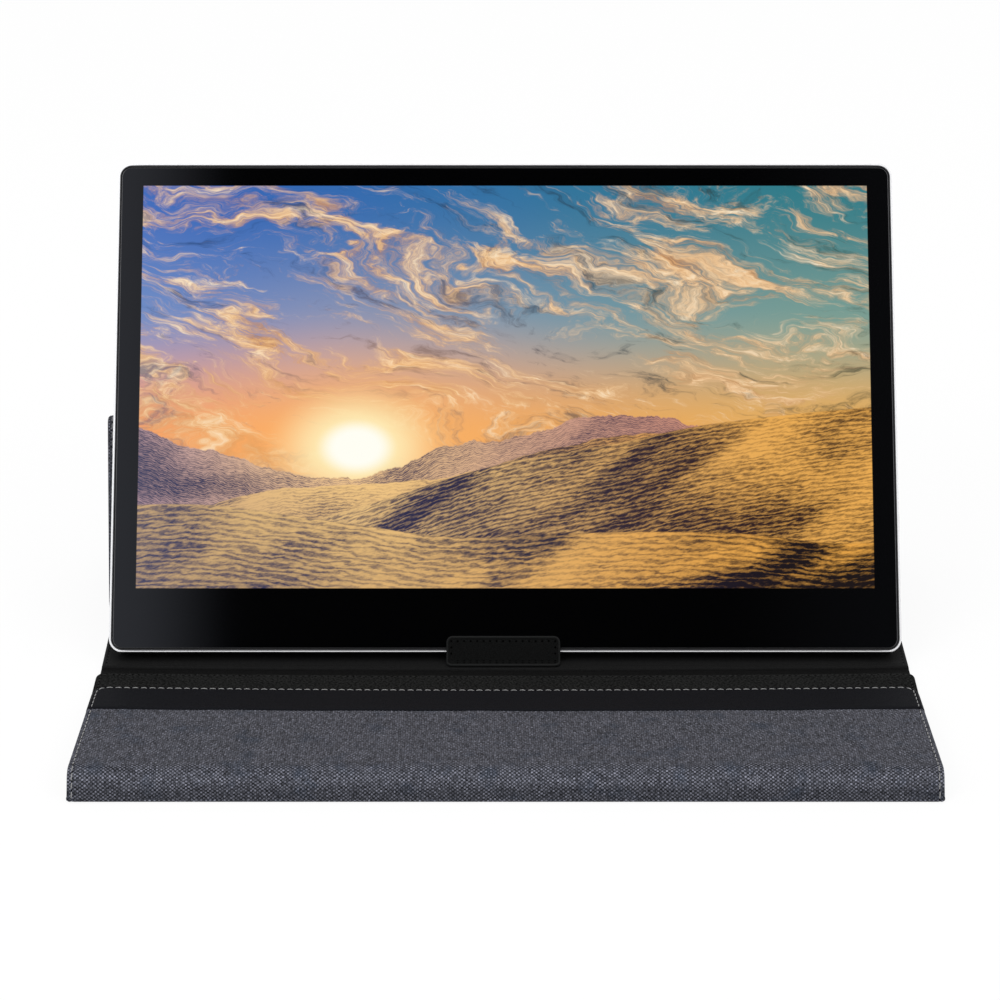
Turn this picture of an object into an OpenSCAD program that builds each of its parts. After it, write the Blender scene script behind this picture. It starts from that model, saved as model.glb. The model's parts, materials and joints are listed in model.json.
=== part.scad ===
// Portable monitor standing in its folding cover. The cover opens into a base,
// a closing flap folded over at the front and a two-leaf prop at the back.
// X runs across, Y from the front bottom edge to the back, Z up from the table.

/* [Screen] */
// Width of the lit picture
picture_w = 344.2; // [300:1:380]
// Height of the lit picture
picture_h = 193.6; // [170:1:214]
// Black border at each side of the picture
side_border = 10.3; // [9.7:0.1:14]
// Black border above the picture
top_border = 9; // [7:0.5:14]
// Black border below the picture
chin_border = 28.2; // [24:0.5:36]
// Thickness of the cover glass
glass_t = 1.1; // [0.7:0.1:1.2]
// Radius round the front edge of the glass
glass_edge_r = 0.4; // [0.2:0.05:0.6]
// Depth of the glass below the rim
glass_recess = 0.2; // [0.1:0.05:0.3]
// Width of the dark bead between glass and rim
bead_w = 0.35; // [0.2:0.05:0.6]
// Width of the tape that holds the glass
tape_w = 1.5; // [1.2:0.1:2]
// Thickness of the tape that holds the glass
tape_t = 0.4; // [0.2:0.1:0.5]

/* [Monitor case] */
// Width of the rim round the glass
rim_w = 1.6; // [1.2:0.1:2.4]
// Thickness of the monitor from back to rim
case_t = 9; // [8.9:0.1:10]
// Corner radius of the case seen from the front
case_corner_r = 6.4; // [5:0.1:10]
// Radius round the back edge of the case
case_edge_r = 3; // [2:0.1:3.2]
// Thickness of the back wall
back_wall = 1.3; // [1.1:0.1:1.4]
// Thickness left of the side wall where a socket or a button passes
port_wall = 1.2; // [0.9:0.1:1.6]
// Distance from the front bottom edge to the monitor's lower back edge
set_back = 135.1; // [134.6:0.1:140]
// Angle that the monitor leans back from upright
lean = 34; // [31:0.5:36]

/* [Panel inside] */
// Thickness of the liquid crystal cell
cell_t = 1.3; // [1:0.1:1.4]
// Thickness of the light guide behind the cell
guide_t = 1.3; // [1:0.1:1.4]
// Thickness of the metal tray behind the light guide
tray_t = 0.4; // [0.3:0.1:0.5]
// Border of the cell beside and above the picture
cell_border = 3; // [2:0.1:3.7]
// Border of the cell below the picture
cell_chin = 7; // [5:0.5:9]
// Thickness of the circuit boards
board_t = 1; // [0.8:0.1:1.1]
// Height of the boards above the inner back wall
board_lift = 0.5; // [0.4:0.05:0.6]

/* [Sockets] */
// Width of the small power and data socket's mouth
usb_mouth_w = 8.4; // [8:0.1:9]
// Height of the small power and data socket's mouth
usb_mouth_h = 2.6; // [2.4:0.1:2.8]
// Height of the first data socket up the case
usb_y = 58; // [54:1:64]
// Spacing of the two data sockets
usb_pitch = 17; // [14:0.5:20]
// Width of the video socket's mouth
video_mouth_w = 10.5; // [10:0.1:11]
// Height of the video socket up the case
video_y = 96; // [94:1:104]
// Bore of the headphone jack
jack_bore = 3.6; // [3.5:0.05:3.7]
// Depth of the headphone jack
jack_depth = 12; // [11:0.5:14]
// Height of the headphone jack up the case
jack_y = 13; // [12:0.5:14]
// Clearance between a socket and its hole
port_gap = 0.2; // [0.1:0.05:0.3]

/* [Buttons] */
// Length of the power button
power_len = 9; // [7:0.5:11]
// Length of the menu rocker
rocker_len = 18; // [15:0.5:20]
// Height of both buttons across the edge of the case
button_h = 2.6; // [2.2:0.1:2.8]
// Reach of the buttons beyond the case
button_proud = 0.5; // [0.4:0.05:0.7]
// Clearance round the buttons
button_gap = 0.3; // [0.25:0.05:0.4]
// Height of the power button up the case
power_y = 62; // [58:1:66]
// Height of the menu rocker up the case
rocker_y = 86; // [84:1:90]

/* [Speakers] */
// Length of each speaker
speaker_len = 34; // [28:1:40]
// Width of each speaker
speaker_w = 11; // [9:0.5:12]
// Distance of each speaker from the middle
speaker_x = 128; // [122:1:140]
// Number of sound slots behind each speaker
slot_count = 9; // [5:1:10]
// Width of a sound slot
slot_w = 1.2; // [0.8:0.1:1.6]

/* [Cover] */
// Reach of the flap and the front base beyond each side of the monitor
cover_edge = 4.4; // [3.4:0.1:11]
// Narrowing of the flap at each side towards its free edge
flap_taper = 1.2; // [0.4:0.1:3.2]
// Narrowing of the rear base and of the prop at each side
rear_inset = 1.5; // [0.5:0.1:3.2]
// Distance that the prop sits off the middle, to the left
prop_shift = 1; // [0:0.1:1.4]
// Thickness of the outer canvas
canvas_t = 0.8; // [0.6:0.05:1]
// Thickness of the stiff board in each leaf
stiff_t = 1.6; // [1.2:0.1:2]
// Thickness of the soft lining
lining_t = 0.6; // [0.4:0.05:0.8]
// Thickness of the cloth at a crease
crease_t = 1.2; // [1:0.05:1.4]
// Width of the sewn edge round each board
hem_w = 4; // [3:0.1:5]
// Width of the sewn edge along a crease
crease_hem_w = 1; // [0.8:0.1:1.4]
// Corner radius of the flap and of the prop's foot
free_corner_r = 7.5; // [4:0.5:10]
// Corner radius at the creases of the base
crease_corner_r = 4.5; // [2:0.5:6]
// Clearance between a board and its sewn edge
board_gap = 0.2; // [0.1:0.05:0.3]

/* [Cover sizes from front to back] */
// Length of the front base, from the front bottom edge to its crease
front_base_len = 113.6; // [108:0.2:114.8]
// Width of the crease between the two base leaves
base_crease_w = 5.6; // [5.2:0.1:6.2]
// Length of the rear base from that crease to the rear spine
rear_base_len = 121; // [116:0.5:124]
// Length of the rear spine with its creases, on the table
rear_spine_len = 17; // [16:0.5:22]
// Width of the creases at the spines
spine_crease_w = 3.5; // [3:0.1:4]
// Room at the front and back bends for the leaf that stands there
bend_room = 5; // [4.8:0.1:6]
// Length of the front spine from the table to the corner of the flap
front_spine_len = 14.7; // [13.5:0.1:16]
// Angle of the front spine above the table
spine_angle = 65.3; // [60:0.1:72]
// Length of the flap from its corner to its free edge
flap_len = 89.6; // [84:0.2:94]
// Outer radius where the spine turns into the flap
shoulder_r = 6.5; // [5:0.1:7.5]
// Width of the leather band along the free edge
band_w = 26; // [18:0.5:32]
// Thickness of the leather band
band_t = 0.5; // [0.3:0.1:0.7]
// Clearance between the free edge and the front base
flap_gap = 0.3; // [0.2:0.05:0.5]

/* [Prop] */
// Distance up the monitor's back at which the prop holds it
prop_reach = 110.4; // [106:0.2:114]
// Length of the front leaf of the prop
front_leg_len = 93; // [90.5:0.5:94]
// Outer radius of the fold at the top of the prop
fold_r = 4; // [3.8:0.1:5]
// Clearance between leaves that touch
touch_gap = 0.3; // [0.2:0.05:0.4]
// Width of the steel strip in the foot of the prop
strip_w = 12; // [8:0.5:16]
// Length of each magnet in the flap
magnet_len = 30; // [20:1:36]
// Width of each magnet in the flap
magnet_w = 8; // [6:0.5:10]
// Number of magnets in the flap
magnet_count = 4; // [2:1:6]

/* [Tab] */
// Width of the leather tab that stops the monitor
tab_w = 52.8; // [40:0.2:70]
// Thickness of the leather tab
tab_t = 1.4; // [1:0.1:2]
// Length of the tab's foot in front of its bend
tab_foot = 2.6; // [1:0.1:3]
// Reach of the tab above the monitor's lower edge
tab_reach = 7.4; // [5:0.2:10]
// Corner radius of the tab
tab_corner_r = 3; // [1.5:0.1:3]
// Distance of the tab off the middle, to the left
tab_shift = 1.8; // [0:0.2:4]
// Clearance between the tab and the glass
tab_gap = 0.2; // [0.1:0.05:0.3]

/* [Hidden] */
$fn = 64;
eps = 0.01;

glass_w = picture_w + 2 * side_border;
glass_h = picture_h + top_border + chin_border;
pocket_w = glass_w + 2 * bead_w;
pocket_h = glass_h + 2 * bead_w;
case_w = pocket_w + 2 * (rim_w - bead_w);
cover_w = case_w + 2 * cover_edge;
flap_tip_w = cover_w - 2 * flap_taper;
rear_w = cover_w - 2 * rear_inset;
case_h = pocket_h + 2 * (rim_w - bead_w);
glass_front = case_t - glass_recess;
glass_back = glass_front - glass_t;
tape_back = glass_back - tape_t;
cavity_w = glass_w - 2 * tape_w;
cavity_h = glass_h - 2 * tape_w;
side_wall = (case_w - cavity_w) / 2;
pocket_r = case_corner_r - rim_w + bead_w;
glass_r = pocket_r - bead_w;
cavity_r = max(glass_r - tape_w, 1);

cell_back = glass_back - cell_t;
guide_back = cell_back - guide_t;
tray_back = guide_back - tray_t;
cell_w = picture_w + 2 * cell_border;
cell_h = picture_h + cell_border + cell_chin;
cell_y = rim_w + chin_border - cell_chin;
board_z = back_wall + board_lift;
board_top = board_z + board_t;
port_x = case_w / 2 - port_wall;

panel_t = canvas_t + stiff_t + lining_t;
pocket_gap = 0.1;
// Clearance that keeps a crease from the leaf which turns against it
crease_gap = 0.35;
// Clearance between the end of a leaf and the crease that it turns over
turn_gap = 0.2;
rear_base_start = front_base_len + base_crease_w;
rear_base_end = rear_base_start + rear_base_len;
rear_spine_start = rear_base_end + spine_crease_w;
rear_bend = rear_base_end + rear_spine_len;
rear_ease = 0.6;
rear_spine_end = rear_bend - bend_room - rear_ease;

// The monitor stands on its rounded lower back edge, on top of the base
edge_drop = (cos(lean) + sin(lean) - 1) * case_edge_r;
monitor_y = set_back;
monitor_z = panel_t + touch_gap - edge_drop;
up_dir = [sin(lean), cos(lean)];
back_dir = [cos(lean), -sin(lean)];
glass_foot = [monitor_y, monitor_z] - case_t * back_dir;

// Centre of the fold at the top of the prop, and the angles of its two leaves
fold_c = [monitor_y, monitor_z] + prop_reach * up_dir + (fold_r + touch_gap) * back_dir;
foot_drop = fold_c[1] - panel_t - touch_gap / 2;
inner_r = fold_r - panel_t;
front_leg_lean = acos(foot_drop / norm([front_leg_len, inner_r])) - atan(inner_r / front_leg_len);
front_leg_angle = -90 - front_leg_lean;
leg_base = fold_c - [rear_bend, 0];
rear_leg_angle = atan2(leg_base[1], leg_base[0]) - asin(fold_r / norm(leg_base));
rear_leg_len = sqrt(norm(leg_base) * norm(leg_base) - fold_r * fold_r);
leg_start = (crease_t + turn_gap - panel_t * cos(rear_leg_angle)) / sin(rear_leg_angle);

// The flap slopes from its corner until its free edge lies just above the base
corner = front_spine_len * [cos(spine_angle), sin(spine_angle)];
flap_drop = corner[1] - panel_t - flap_gap;
flap_angle = atan(panel_t / flap_len) - asin(flap_drop / norm([flap_len, panel_t]));
turn = spine_angle - flap_angle;
shoulder_len = shoulder_r * tan(turn / 2);
spine_start = (crease_t + turn_gap + panel_t * cos(spine_angle)) / sin(spine_angle);
spine_end = front_spine_len - shoulder_len;
shoulder_c = spine_end * [cos(spine_angle), sin(spine_angle)]
    + shoulder_r * [sin(spine_angle), -cos(spine_angle)];

depth = monitor_y + case_h * sin(lean) - case_edge_r * (sin(lean) + cos(lean) - 1);

// Placing

// Puts the object's middle over the origin
module in_frame() {
    translate([0, -depth / 2, 0]) children();
}

// Monitor's own frame: X across, Y up the screen, Z out of the glass
module at_monitor() {
    in_frame() translate([0, monitor_y, monitor_z]) rotate([90 - lean, 0, 0]) children();
}

// Leaf's own frame: Y along the leaf, Z from its canvas to its lining
module at_leaf(start, angle, turned = false) {
    in_frame() translate([0, start[0], start[1]]) rotate([angle, 0, 0])
        mirror([0, 0, turned ? 1 : 0]) children();
}

// Extrudes a side view, drawn as distance back and height, across the object
module across(w) {
    in_frame() rotate([90, 0, 90]) linear_extrude(w, center = true) children();
}

// Shapes

module corner_cut(x, y, r, sx, sy) {
    translate([x, y]) mirror([sx > 0 ? 1 : 0, 0]) mirror([0, sy > 0 ? 1 : 0]) difference() {
        translate([-1, -1]) square(r + 1);
        translate([r, r]) circle(r);
    }
}

// Outline of a leaf: w0 and r0 where it starts, w1 and r1 where it ends
module leaf(w0, w1, len, r0, r1, inset = [0, 0]) {
    a = w0 / 2 - inset[0];
    b = w1 / 2 - inset[0];
    y0 = inset[1];
    y1 = len - inset[1];
    q0 = max(r0 - inset[0], 0.3);
    q1 = max(r1 - inset[0], 0.3);
    difference() {
        polygon([[-a, y0], [a, y0], [b, y1], [-b, y1]]);
        for (s = [-1, 1]) {
            corner_cut(s * a, y0, q0, s, -1);
            corner_cut(s * b, y1, q1, s, 1);
        }
    }
}

// Canvas of a leaf: the outer cloth and the edge that is turned in round the board
module leaf_canvas(w0, w1, len, r0, r1, hem = [hem_w, hem_w], lead = 0) {
    linear_extrude(canvas_t) leaf(w0, w1, len, r0, r1);
    if (lead > 0) translate([-w0 / 2, -lead, 0]) cube([w0, lead + eps, canvas_t]);
    translate([0, 0, canvas_t - eps]) linear_extrude(stiff_t + eps) difference() {
        leaf(w0, w1, len, r0, r1);
        leaf(w0, w1, len, r0, r1, hem);
    }
}

module leaf_board(w0, w1, len, r0, r1, hem = [hem_w, hem_w]) {
    translate([0, 0, canvas_t]) linear_extrude(stiff_t)
        leaf(w0, w1, len, r0, r1, hem + [board_gap, board_gap]);
}

module leaf_lining(w0, w1, len, r0, r1) {
    translate([0, 0, canvas_t + stiff_t]) linear_extrude(lining_t)
        leaf(w0, w1, len, r0, r1, [board_gap, board_gap]);
}

// Sector of a ring, from angle a0 to a1, for cloth bent round a crease
module bend(r, t, a0, a1) {
    far = 4 * r;
    mid = (a0 + a1) / 2;
    intersection() {
        difference() {
            circle(r);
            circle(r - t);
        }
        polygon([
            [0, 0],
            far * [cos(a0), sin(a0)],
            far * [cos(mid), sin(mid)],
            far * [cos(a1), sin(a1)]
        ]);
    }
}

module rounded_rect(w, h, r) {
    translate([0, h / 2]) union() {
        square([w - 2 * r, h], center = true);
        square([w, h - 2 * r], center = true);
        for (x = [-1, 1], y = [-1, 1]) translate([x * (w / 2 - r), y * (h / 2 - r)]) circle(r);
    }
}

// Half of a side view whose lower outer edge is rounded
module edge_profile(half, t, re) {
    difference() {
        square([half, t]);
        translate([half - re, 0]) difference() {
            translate([0, -1]) square([re + 1, re + 1]);
            translate([0, re]) circle(re);
        }
    }
}

// Block with round corners whose edges at Z = 0 are rounded too
module soft_block(w, h, t, rc, re) {
    translate([0, h / 2, 0]) {
        for (s = [0, 1]) mirror([s, 0, 0]) rotate([90, 0, 0])
            linear_extrude(h - 2 * rc, center = true) edge_profile(w / 2, t, re);
        for (s = [0, 1]) mirror([0, s, 0]) rotate([90, 0, 90])
            linear_extrude(w - 2 * rc, center = true) edge_profile(h / 2, t, re);
        for (x = [-1, 1], y = [-1, 1]) translate([x * (w / 2 - rc), y * (h / 2 - rc), 0])
            rotate_extrude() edge_profile(rc, t, re);
    }
}

// Upright pill that runs through the side of the case along X
module side_pill(len, h, from_x, to_x, y, z) {
    translate([from_x, y, z]) rotate([90, 0, 90]) linear_extrude(to_x - from_x) union() {
        square([len - h, h], center = true);
        for (s = [-1, 1]) translate([s * (len - h) / 2, 0]) circle(h / 2);
    }
}

// Monitor

module cover_glass() {
    color("#0c0c0f") at_monitor() translate([0, rim_w, glass_front]) mirror([0, 0, 1])
        soft_block(glass_w, glass_h, glass_t, glass_r, glass_edge_r);
}

bead_front = glass_front - glass_edge_r - 0.1;

module glass_bead() {
    color("#101010") at_monitor() {
        translate([0, rim_w, tape_back]) linear_extrude(tape_t) difference() {
            rounded_rect(glass_w, glass_h, glass_r);
            translate([0, tape_w, 0]) rounded_rect(cavity_w, cavity_h, cavity_r);
        }
        translate([0, 0, glass_back]) linear_extrude(bead_front - glass_back) difference() {
            translate([0, rim_w - bead_w]) rounded_rect(pocket_w, pocket_h, pocket_r);
            translate([0, rim_w]) rounded_rect(glass_w, glass_h, glass_r);
        }
    }
}

socket_d = 7.4;
socket_wall = 0.3;
usb_w = usb_mouth_w + 2 * socket_wall;
usb_h = usb_mouth_h + 2 * socket_wall;
video_mouth_h = 2.6;
video_w = video_mouth_w + 2 * socket_wall;
video_h = video_mouth_h + 2 * socket_wall;
jack_w = 6.4;
jack_nose_d = jack_bore + 1;
jack_h = 4.2;
usb_z = board_top + usb_h / 2;
video_z = board_top + video_h / 2;
jack_z = board_top + jack_h / 2;
button_z = usb_z;
usb_places = [usb_y, usb_y + usb_pitch];

main_board_x = -port_x + 0.4;
driver_room = 7;
driver_w = 2 * (speaker_x - speaker_len / 2 - driver_room);
ribbon_w = 9;
ribbon_t = 0.3;
ribbon_plug = [ribbon_w + 2, 4, 0.8];
plug_margin = 0.3;
plug_room = ribbon_plug[0] + 2 * plug_margin;
// The main board reaches over the end of the driver board by the ribbon's plug
main_board_w = -driver_w / 2 + plug_room - main_board_x;
main_board_y = 50;
main_board_h = 64;
button_board_w = 11;
button_board_y = 52;
button_board_h = 48;
// The lips inside the wall, the stems and the switches that they press
flange_t = 0.8;
flange_lip = 0.9;
flange_gap = 0.1;
flange_x = port_x - flange_t - flange_gap;
stem_len = 0.6;
stem_d = 1.4;
press = 0.4;
rocker_tilt = 2;
rocker_gap = (rocker_len / 2 + flange_lip) * sin(rocker_tilt);
switch_w = 3;
switch_h = 3;
plunger_len = 0.3;
plunger_d = 1;
plunger_tip = flange_x - stem_len - press - 0.1;
switch_x = plunger_tip - plunger_len;
button_board_x = switch_x;
jack_board_w = 16;
jack_board_h = 9;
driver_h = 9;
driver_y = 8;
ribbon_x = (plug_room - driver_w) / 2;
plug_rows = [driver_y + driver_h - ribbon_plug[1], main_board_y + 1];
screw_inset = 5;
outer_screw_inset = 3.7;
button_screw_inset = 3;
driver_screw_inset = 30;
// Room that a socket takes on the main board
socket_room = 14;
screw_d = 1.6;
screw_head_d = 3.4;
screw_head_t = 0.7;
boss_d = 4.6;
speaker_y = side_wall + 1.2;
speaker_t = tray_back - back_wall - 0.2;
speaker_edge = 2;
slot_pitch = 3;
room_z = back_wall + 0.4;
room_gap = 0.6;

// Screws that hold the three boards to the back wall
inner_screw_x = main_board_x + main_board_w - screw_inset;
outer_screw_x = main_board_x + socket_room;
button_screw_x = button_board_x - button_board_w + button_screw_inset;
driver_screw_x = driver_w / 2 - driver_screw_inset;
driver_screw_y = driver_y + driver_h / 2;
screw_places = [
    [inner_screw_x, plug_rows[1] + ribbon_plug[1] + screw_inset],
    [inner_screw_x, main_board_y + main_board_h - screw_inset],
    [outer_screw_x, main_board_y + main_board_h - outer_screw_inset],
    [outer_screw_x, main_board_y + outer_screw_inset],
    [button_screw_x, button_board_y + button_screw_inset],
    [button_screw_x, button_board_y + button_board_h - button_screw_inset],
    [-driver_screw_x, driver_screw_y],
    [driver_screw_x, driver_screw_y]
];

function slot_x(i) = (i - (slot_count - 1) / 2) * slot_pitch;

// Room beside the sockets and the buttons, inside the side walls
module side_room(x, y, h) {
    translate([x, y - room_gap, room_z]) cube([side_wall, h + 2 * room_gap, tape_back - room_z + eps]);
}

module button_slot(len, y) {
    side_pill(len + 2 * button_gap, button_h + 2 * button_gap, port_x - 1, case_w, y, button_z);
}

// Slot through the back wall in front of a speaker
module sound_slot(len) {
    linear_extrude(back_wall + 2) union() {
        square([slot_w, len - slot_w], center = true);
        for (e = [-1, 1]) translate([0, e * (len - slot_w) / 2]) circle(d = slot_w);
    }
}

module rear_shell() {
    color("#d9dadd") at_monitor() difference() {
        union() {
            difference() {
                soft_block(case_w, case_h, case_t, case_corner_r, case_edge_r);
                translate([0, side_wall, back_wall]) linear_extrude(case_t)
                    rounded_rect(cavity_w, cavity_h, cavity_r);
            }
            for (p = screw_places) translate([p[0], p[1], back_wall - eps])
                cylinder(d = boss_d, h = board_lift + eps);
        }
        translate([0, rim_w - bead_w, tape_back]) linear_extrude(case_t)
            rounded_rect(pocket_w, pocket_h, pocket_r);
        for (p = screw_places) translate([p[0], p[1], board_z - 1.3])
            cylinder(d = screw_d, h = 2);
        side_room(-port_x, main_board_y, main_board_h);
        side_room(port_x - side_wall, button_board_y, button_board_h);
        side_room(port_x - side_wall, jack_y - jack_board_h / 2, jack_board_h);
        for (y = usb_places)
            side_pill(usb_w + 2 * port_gap, usb_h + 2 * port_gap, -case_w, -port_x + 1, y, usb_z);
        side_pill(video_w + 2 * port_gap, video_h + 2 * port_gap, -case_w, -port_x + 1, video_y, video_z);
        translate([port_x - 1, jack_y, jack_z]) rotate([0, 90, 0])
            cylinder(d = jack_nose_d + 2 * port_gap, h = case_w);
        button_slot(power_len, power_y);
        button_slot(rocker_len, rocker_y);
        for (s = [-1, 1], i = [0 : slot_count - 1])
            translate([s * speaker_x + slot_x(i), speaker_y + speaker_w / 2, -1])
                sound_slot(speaker_w - 2 * speaker_edge);
    }
}

module lcd_cell() {
    color("#1d2c46") at_monitor() translate([-cell_w / 2, cell_y, cell_back])
        cube([cell_w, cell_h, cell_t]);
}

module light_guide() {
    color("#e8eef2") at_monitor() translate([-cell_w / 2, cell_y, guide_back])
        cube([cell_w, cell_h, guide_t]);
}

tray_side = 0.5;
tray_h = glass_back - tray_back - 0.2;

module panel_tray() {
    color("#9aa0a6") at_monitor() difference() {
        translate([-cell_w / 2 - tray_side, cell_y - tray_side, tray_back])
            cube([cell_w + 2 * tray_side, cell_h + 2 * tray_side, tray_h]);
        translate([-cell_w / 2, cell_y, guide_back]) cube([cell_w, cell_h, case_t]);
    }
}

pad_size = 14;
// Insets of the outer pads from the sides and the top of the cell
pad_side = 63.1;
pad_top = 12.4;
pad_row_pitch = 72;
pad_pitch = cell_w / 2 - pad_side - pad_size / 2;
pad_y = cell_y + cell_h - pad_top - pad_size;
pad_rows = [pad_y - pad_row_pitch, pad_y];

// Foam between the tray and the back wall
module foam_pads() {
    color("#3a3a3a") at_monitor()
        for (i = [-1, 0, 1], y = pad_rows)
            translate([i * pad_pitch - pad_size / 2, y, back_wall])
                cube([pad_size, pad_size, tray_back - back_wall]);
}

module board_with_holes(x, y, w, h) {
    difference() {
        translate([x, y, board_z]) cube([w, h, board_t]);
        for (p = screw_places) translate([p[0], p[1], board_z - 1])
            cylinder(d = screw_d + 0.4, h = board_t + 2);
    }
}

module driver_board() {
    color("#1f5d3a") at_monitor() board_with_holes(-driver_w / 2, driver_y, driver_w, driver_h);
}

// Flat cable from the main board down to the board under the panel
module panel_ribbon() {
    color("#b8862f") at_monitor() {
        translate([ribbon_x - ribbon_w / 2, plug_rows[0], board_top])
            cube([ribbon_w, plug_rows[1] + ribbon_plug[1] - plug_rows[0], ribbon_t]);
        for (y = plug_rows)
            translate([ribbon_x - ribbon_plug[0] / 2, y, board_top + ribbon_t]) cube(ribbon_plug);
    }
}

module main_board() {
    color("#1f5d3a") at_monitor()
        board_with_holes(main_board_x, main_board_y, main_board_w, main_board_h);
}

can_w = 34;
can_h = 30;
can_t = 1.2;
can_wall = 0.3;
can_place = [30, 22];

module shield_can() {
    color("#c4c8cc") at_monitor()
        translate([main_board_x + can_place[0], main_board_y + can_place[1], board_top]) difference() {
            cube([can_w, can_h, can_t]);
            translate([can_wall, can_wall, -1])
                cube([can_w - 2 * can_wall, can_h - 2 * can_wall, can_t + 1 - can_wall]);
        }
}

// Metal shell of a socket, open to the side of the case
module socket(y, z, w, h, mouth_w, mouth_h) {
    outer = -case_w / 2 + 0.2;
    difference() {
        side_pill(w, h, outer, outer + socket_d, y, z);
        side_pill(mouth_w, mouth_h, outer - 1, outer + socket_d - 1, y, z);
    }
    tongue_h = 0.7;
    translate([outer + 1.2, y - mouth_w / 2 + 1, z - tongue_h / 2])
        cube([socket_d - 2, mouth_w - 2, tongue_h]);
}

module data_sockets() {
    color("#b9bcc0") at_monitor()
        for (y = usb_places) socket(y, usb_z, usb_w, usb_h, usb_mouth_w, usb_mouth_h);
}

module video_socket() {
    color("#b9bcc0") at_monitor()
        socket(video_y, video_z, video_w, video_h, video_mouth_w, video_mouth_h);
}

module headphone_jack() {
    color("#1a1a1a") at_monitor() difference() {
        union() {
            translate([port_x - jack_depth - 1, jack_y - jack_w / 2, board_top])
                cube([jack_depth + 0.8, jack_w, jack_h]);
            translate([port_x - 1, jack_y, jack_z]) rotate([0, 90, 0])
                cylinder(d = jack_nose_d, h = port_wall + 0.8);
            translate([port_x - jack_board_w, jack_y - jack_board_h / 2, board_z])
                cube([jack_board_w - 0.4, jack_board_h, board_t]);
            translate([port_x - jack_board_w, jack_y - jack_board_h / 2, back_wall])
                cube([4, jack_board_h, board_lift + eps]);
        }
        translate([case_w / 2 - 0.2 - jack_depth, jack_y, jack_z]) rotate([0, 90, 0])
            cylinder(d = jack_bore, h = jack_depth + 1);
    }
}

speaker_hollow = 0.8;
cone_w = speaker_w - 6;
cone_len = speaker_len - 9;
cone_z = back_wall + speaker_hollow / 2;

module speaker(side) {
    translate([side * speaker_x - speaker_len / 2, speaker_y, back_wall]) difference() {
        cube([speaker_len, speaker_w, speaker_t]);
        translate([speaker_edge, speaker_edge, -1])
            cube([speaker_len - 2 * speaker_edge, speaker_w - 2 * speaker_edge, speaker_hollow + 1]);
    }
    // Cone behind the slots
    translate([side * speaker_x, speaker_y + speaker_w / 2, cone_z])
        linear_extrude(speaker_hollow) union() {
            square([cone_len - cone_w, cone_w], center = true);
            for (e = [-1, 1]) translate([e * (cone_len - cone_w) / 2, 0]) circle(d = cone_w);
        }
}

module speaker_left() {
    color("#222222") at_monitor() speaker(-1);
}

module speaker_right() {
    color("#222222") at_monitor() speaker(1);
}

module button_board() {
    color("#1f5d3a") at_monitor() board_with_holes(
        button_board_x - button_board_w, button_board_y, button_board_w, button_board_h);
}

switch_places = [power_y, rocker_y - rocker_len / 2 + 3, rocker_y + rocker_len / 2 - 3];

// Small switches that the buttons press
module tact_switches() {
    color("#c9c9c9") at_monitor()
        for (y = switch_places) {
            translate([switch_x - switch_w, y - switch_h / 2, board_top])
                cube([switch_w, switch_h, usb_h - 0.6]);
            translate([switch_x - eps, y - plunger_d / 2, button_z - plunger_d / 2])
                cube([plunger_len + eps, plunger_d, plunger_d]);
        }
}

module board_screws() {
    color("#8c8c8c") at_monitor()
        for (p = screw_places) {
            translate([p[0], p[1], board_top]) cylinder(d = screw_head_d, h = screw_head_t);
            translate([p[0], p[1], board_z - 1.2]) cylinder(d = screw_d - 0.1, h = board_t + 1.3);
        }
}

// Cap in the slot, the lip that keeps it in, and the stem on its switch
module button_cap(len, y, stems, stem) {
    side_pill(len, button_h, port_x - 2 * flange_gap, case_w / 2 + button_proud, y, button_z);
    side_pill(len + 2 * flange_lip, button_h + 2 * flange_lip, flange_x, flange_x + flange_t, y, button_z);
    for (s = stems) translate([flange_x - stem, s - stem_d / 2, button_z - stem_d / 2])
        cube([stem + eps, stem_d, stem_d]);
}

module power_button() {
    color("#c8c9cc") at_monitor() button_cap(power_len, power_y, [power_y], stem_len);
}

module menu_rocker() {
    // One end of the lip swings outward, so the rocker stands further from the wall
    color("#c8c9cc") at_monitor() translate([-rocker_gap, 0, 0])
        button_cap(rocker_len, rocker_y, [switch_places[1], switch_places[2]], stem_len - rocker_gap);
}

// Cover

// Clearance that keeps a turning leaf off the crease beside it
fold_clearance = 0.05;

module flap_place() {
    at_leaf(corner, flap_angle, true) translate([0, shoulder_len + fold_clearance, 0]) children();
}

flap_leaf_len = flap_len - shoulder_len - fold_clearance;

module flap_canvas() {
    color("#4b4c53") flap_place()
        leaf_canvas(cover_w, flap_tip_w, flap_leaf_len, 0, free_corner_r);
}

magnet_t = 1.2;
magnet_margin = 4;
magnet_end = 30;
magnet_pitch = (flap_tip_w - 2 * magnet_end) / magnet_count;
magnet_y = flap_leaf_len - hem_w - magnet_margin - magnet_w;

// The magnets, or with extra their pockets in the board
module magnets(extra) {
    for (i = [0 : magnet_count - 1])
        translate([(i - (magnet_count - 1) / 2) * magnet_pitch, 0, 0])
            translate([-magnet_len / 2 - extra, magnet_y - extra, canvas_t])
                cube([magnet_len + 2 * extra, magnet_w + 2 * extra, magnet_t + extra]);
}

module flap_board() {
    color("#c9b38a") flap_place() difference() {
        leaf_board(cover_w, flap_tip_w, flap_leaf_len, 0, free_corner_r);
        magnets(pocket_gap);
    }
}

module flap_lining() {
    color("#1d1d1e") flap_place()
        leaf_lining(cover_w, flap_tip_w, flap_leaf_len, 0, free_corner_r);
}

module leather_band() {
    band_start_w = flap_tip_w + (cover_w - flap_tip_w) * band_w / flap_leaf_len;
    color("#1b1b1e") flap_place() translate([0, flap_leaf_len - band_w, -band_t])
        linear_extrude(band_t) leaf(band_start_w, flap_tip_w, band_w, 0, free_corner_r);
}

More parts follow.
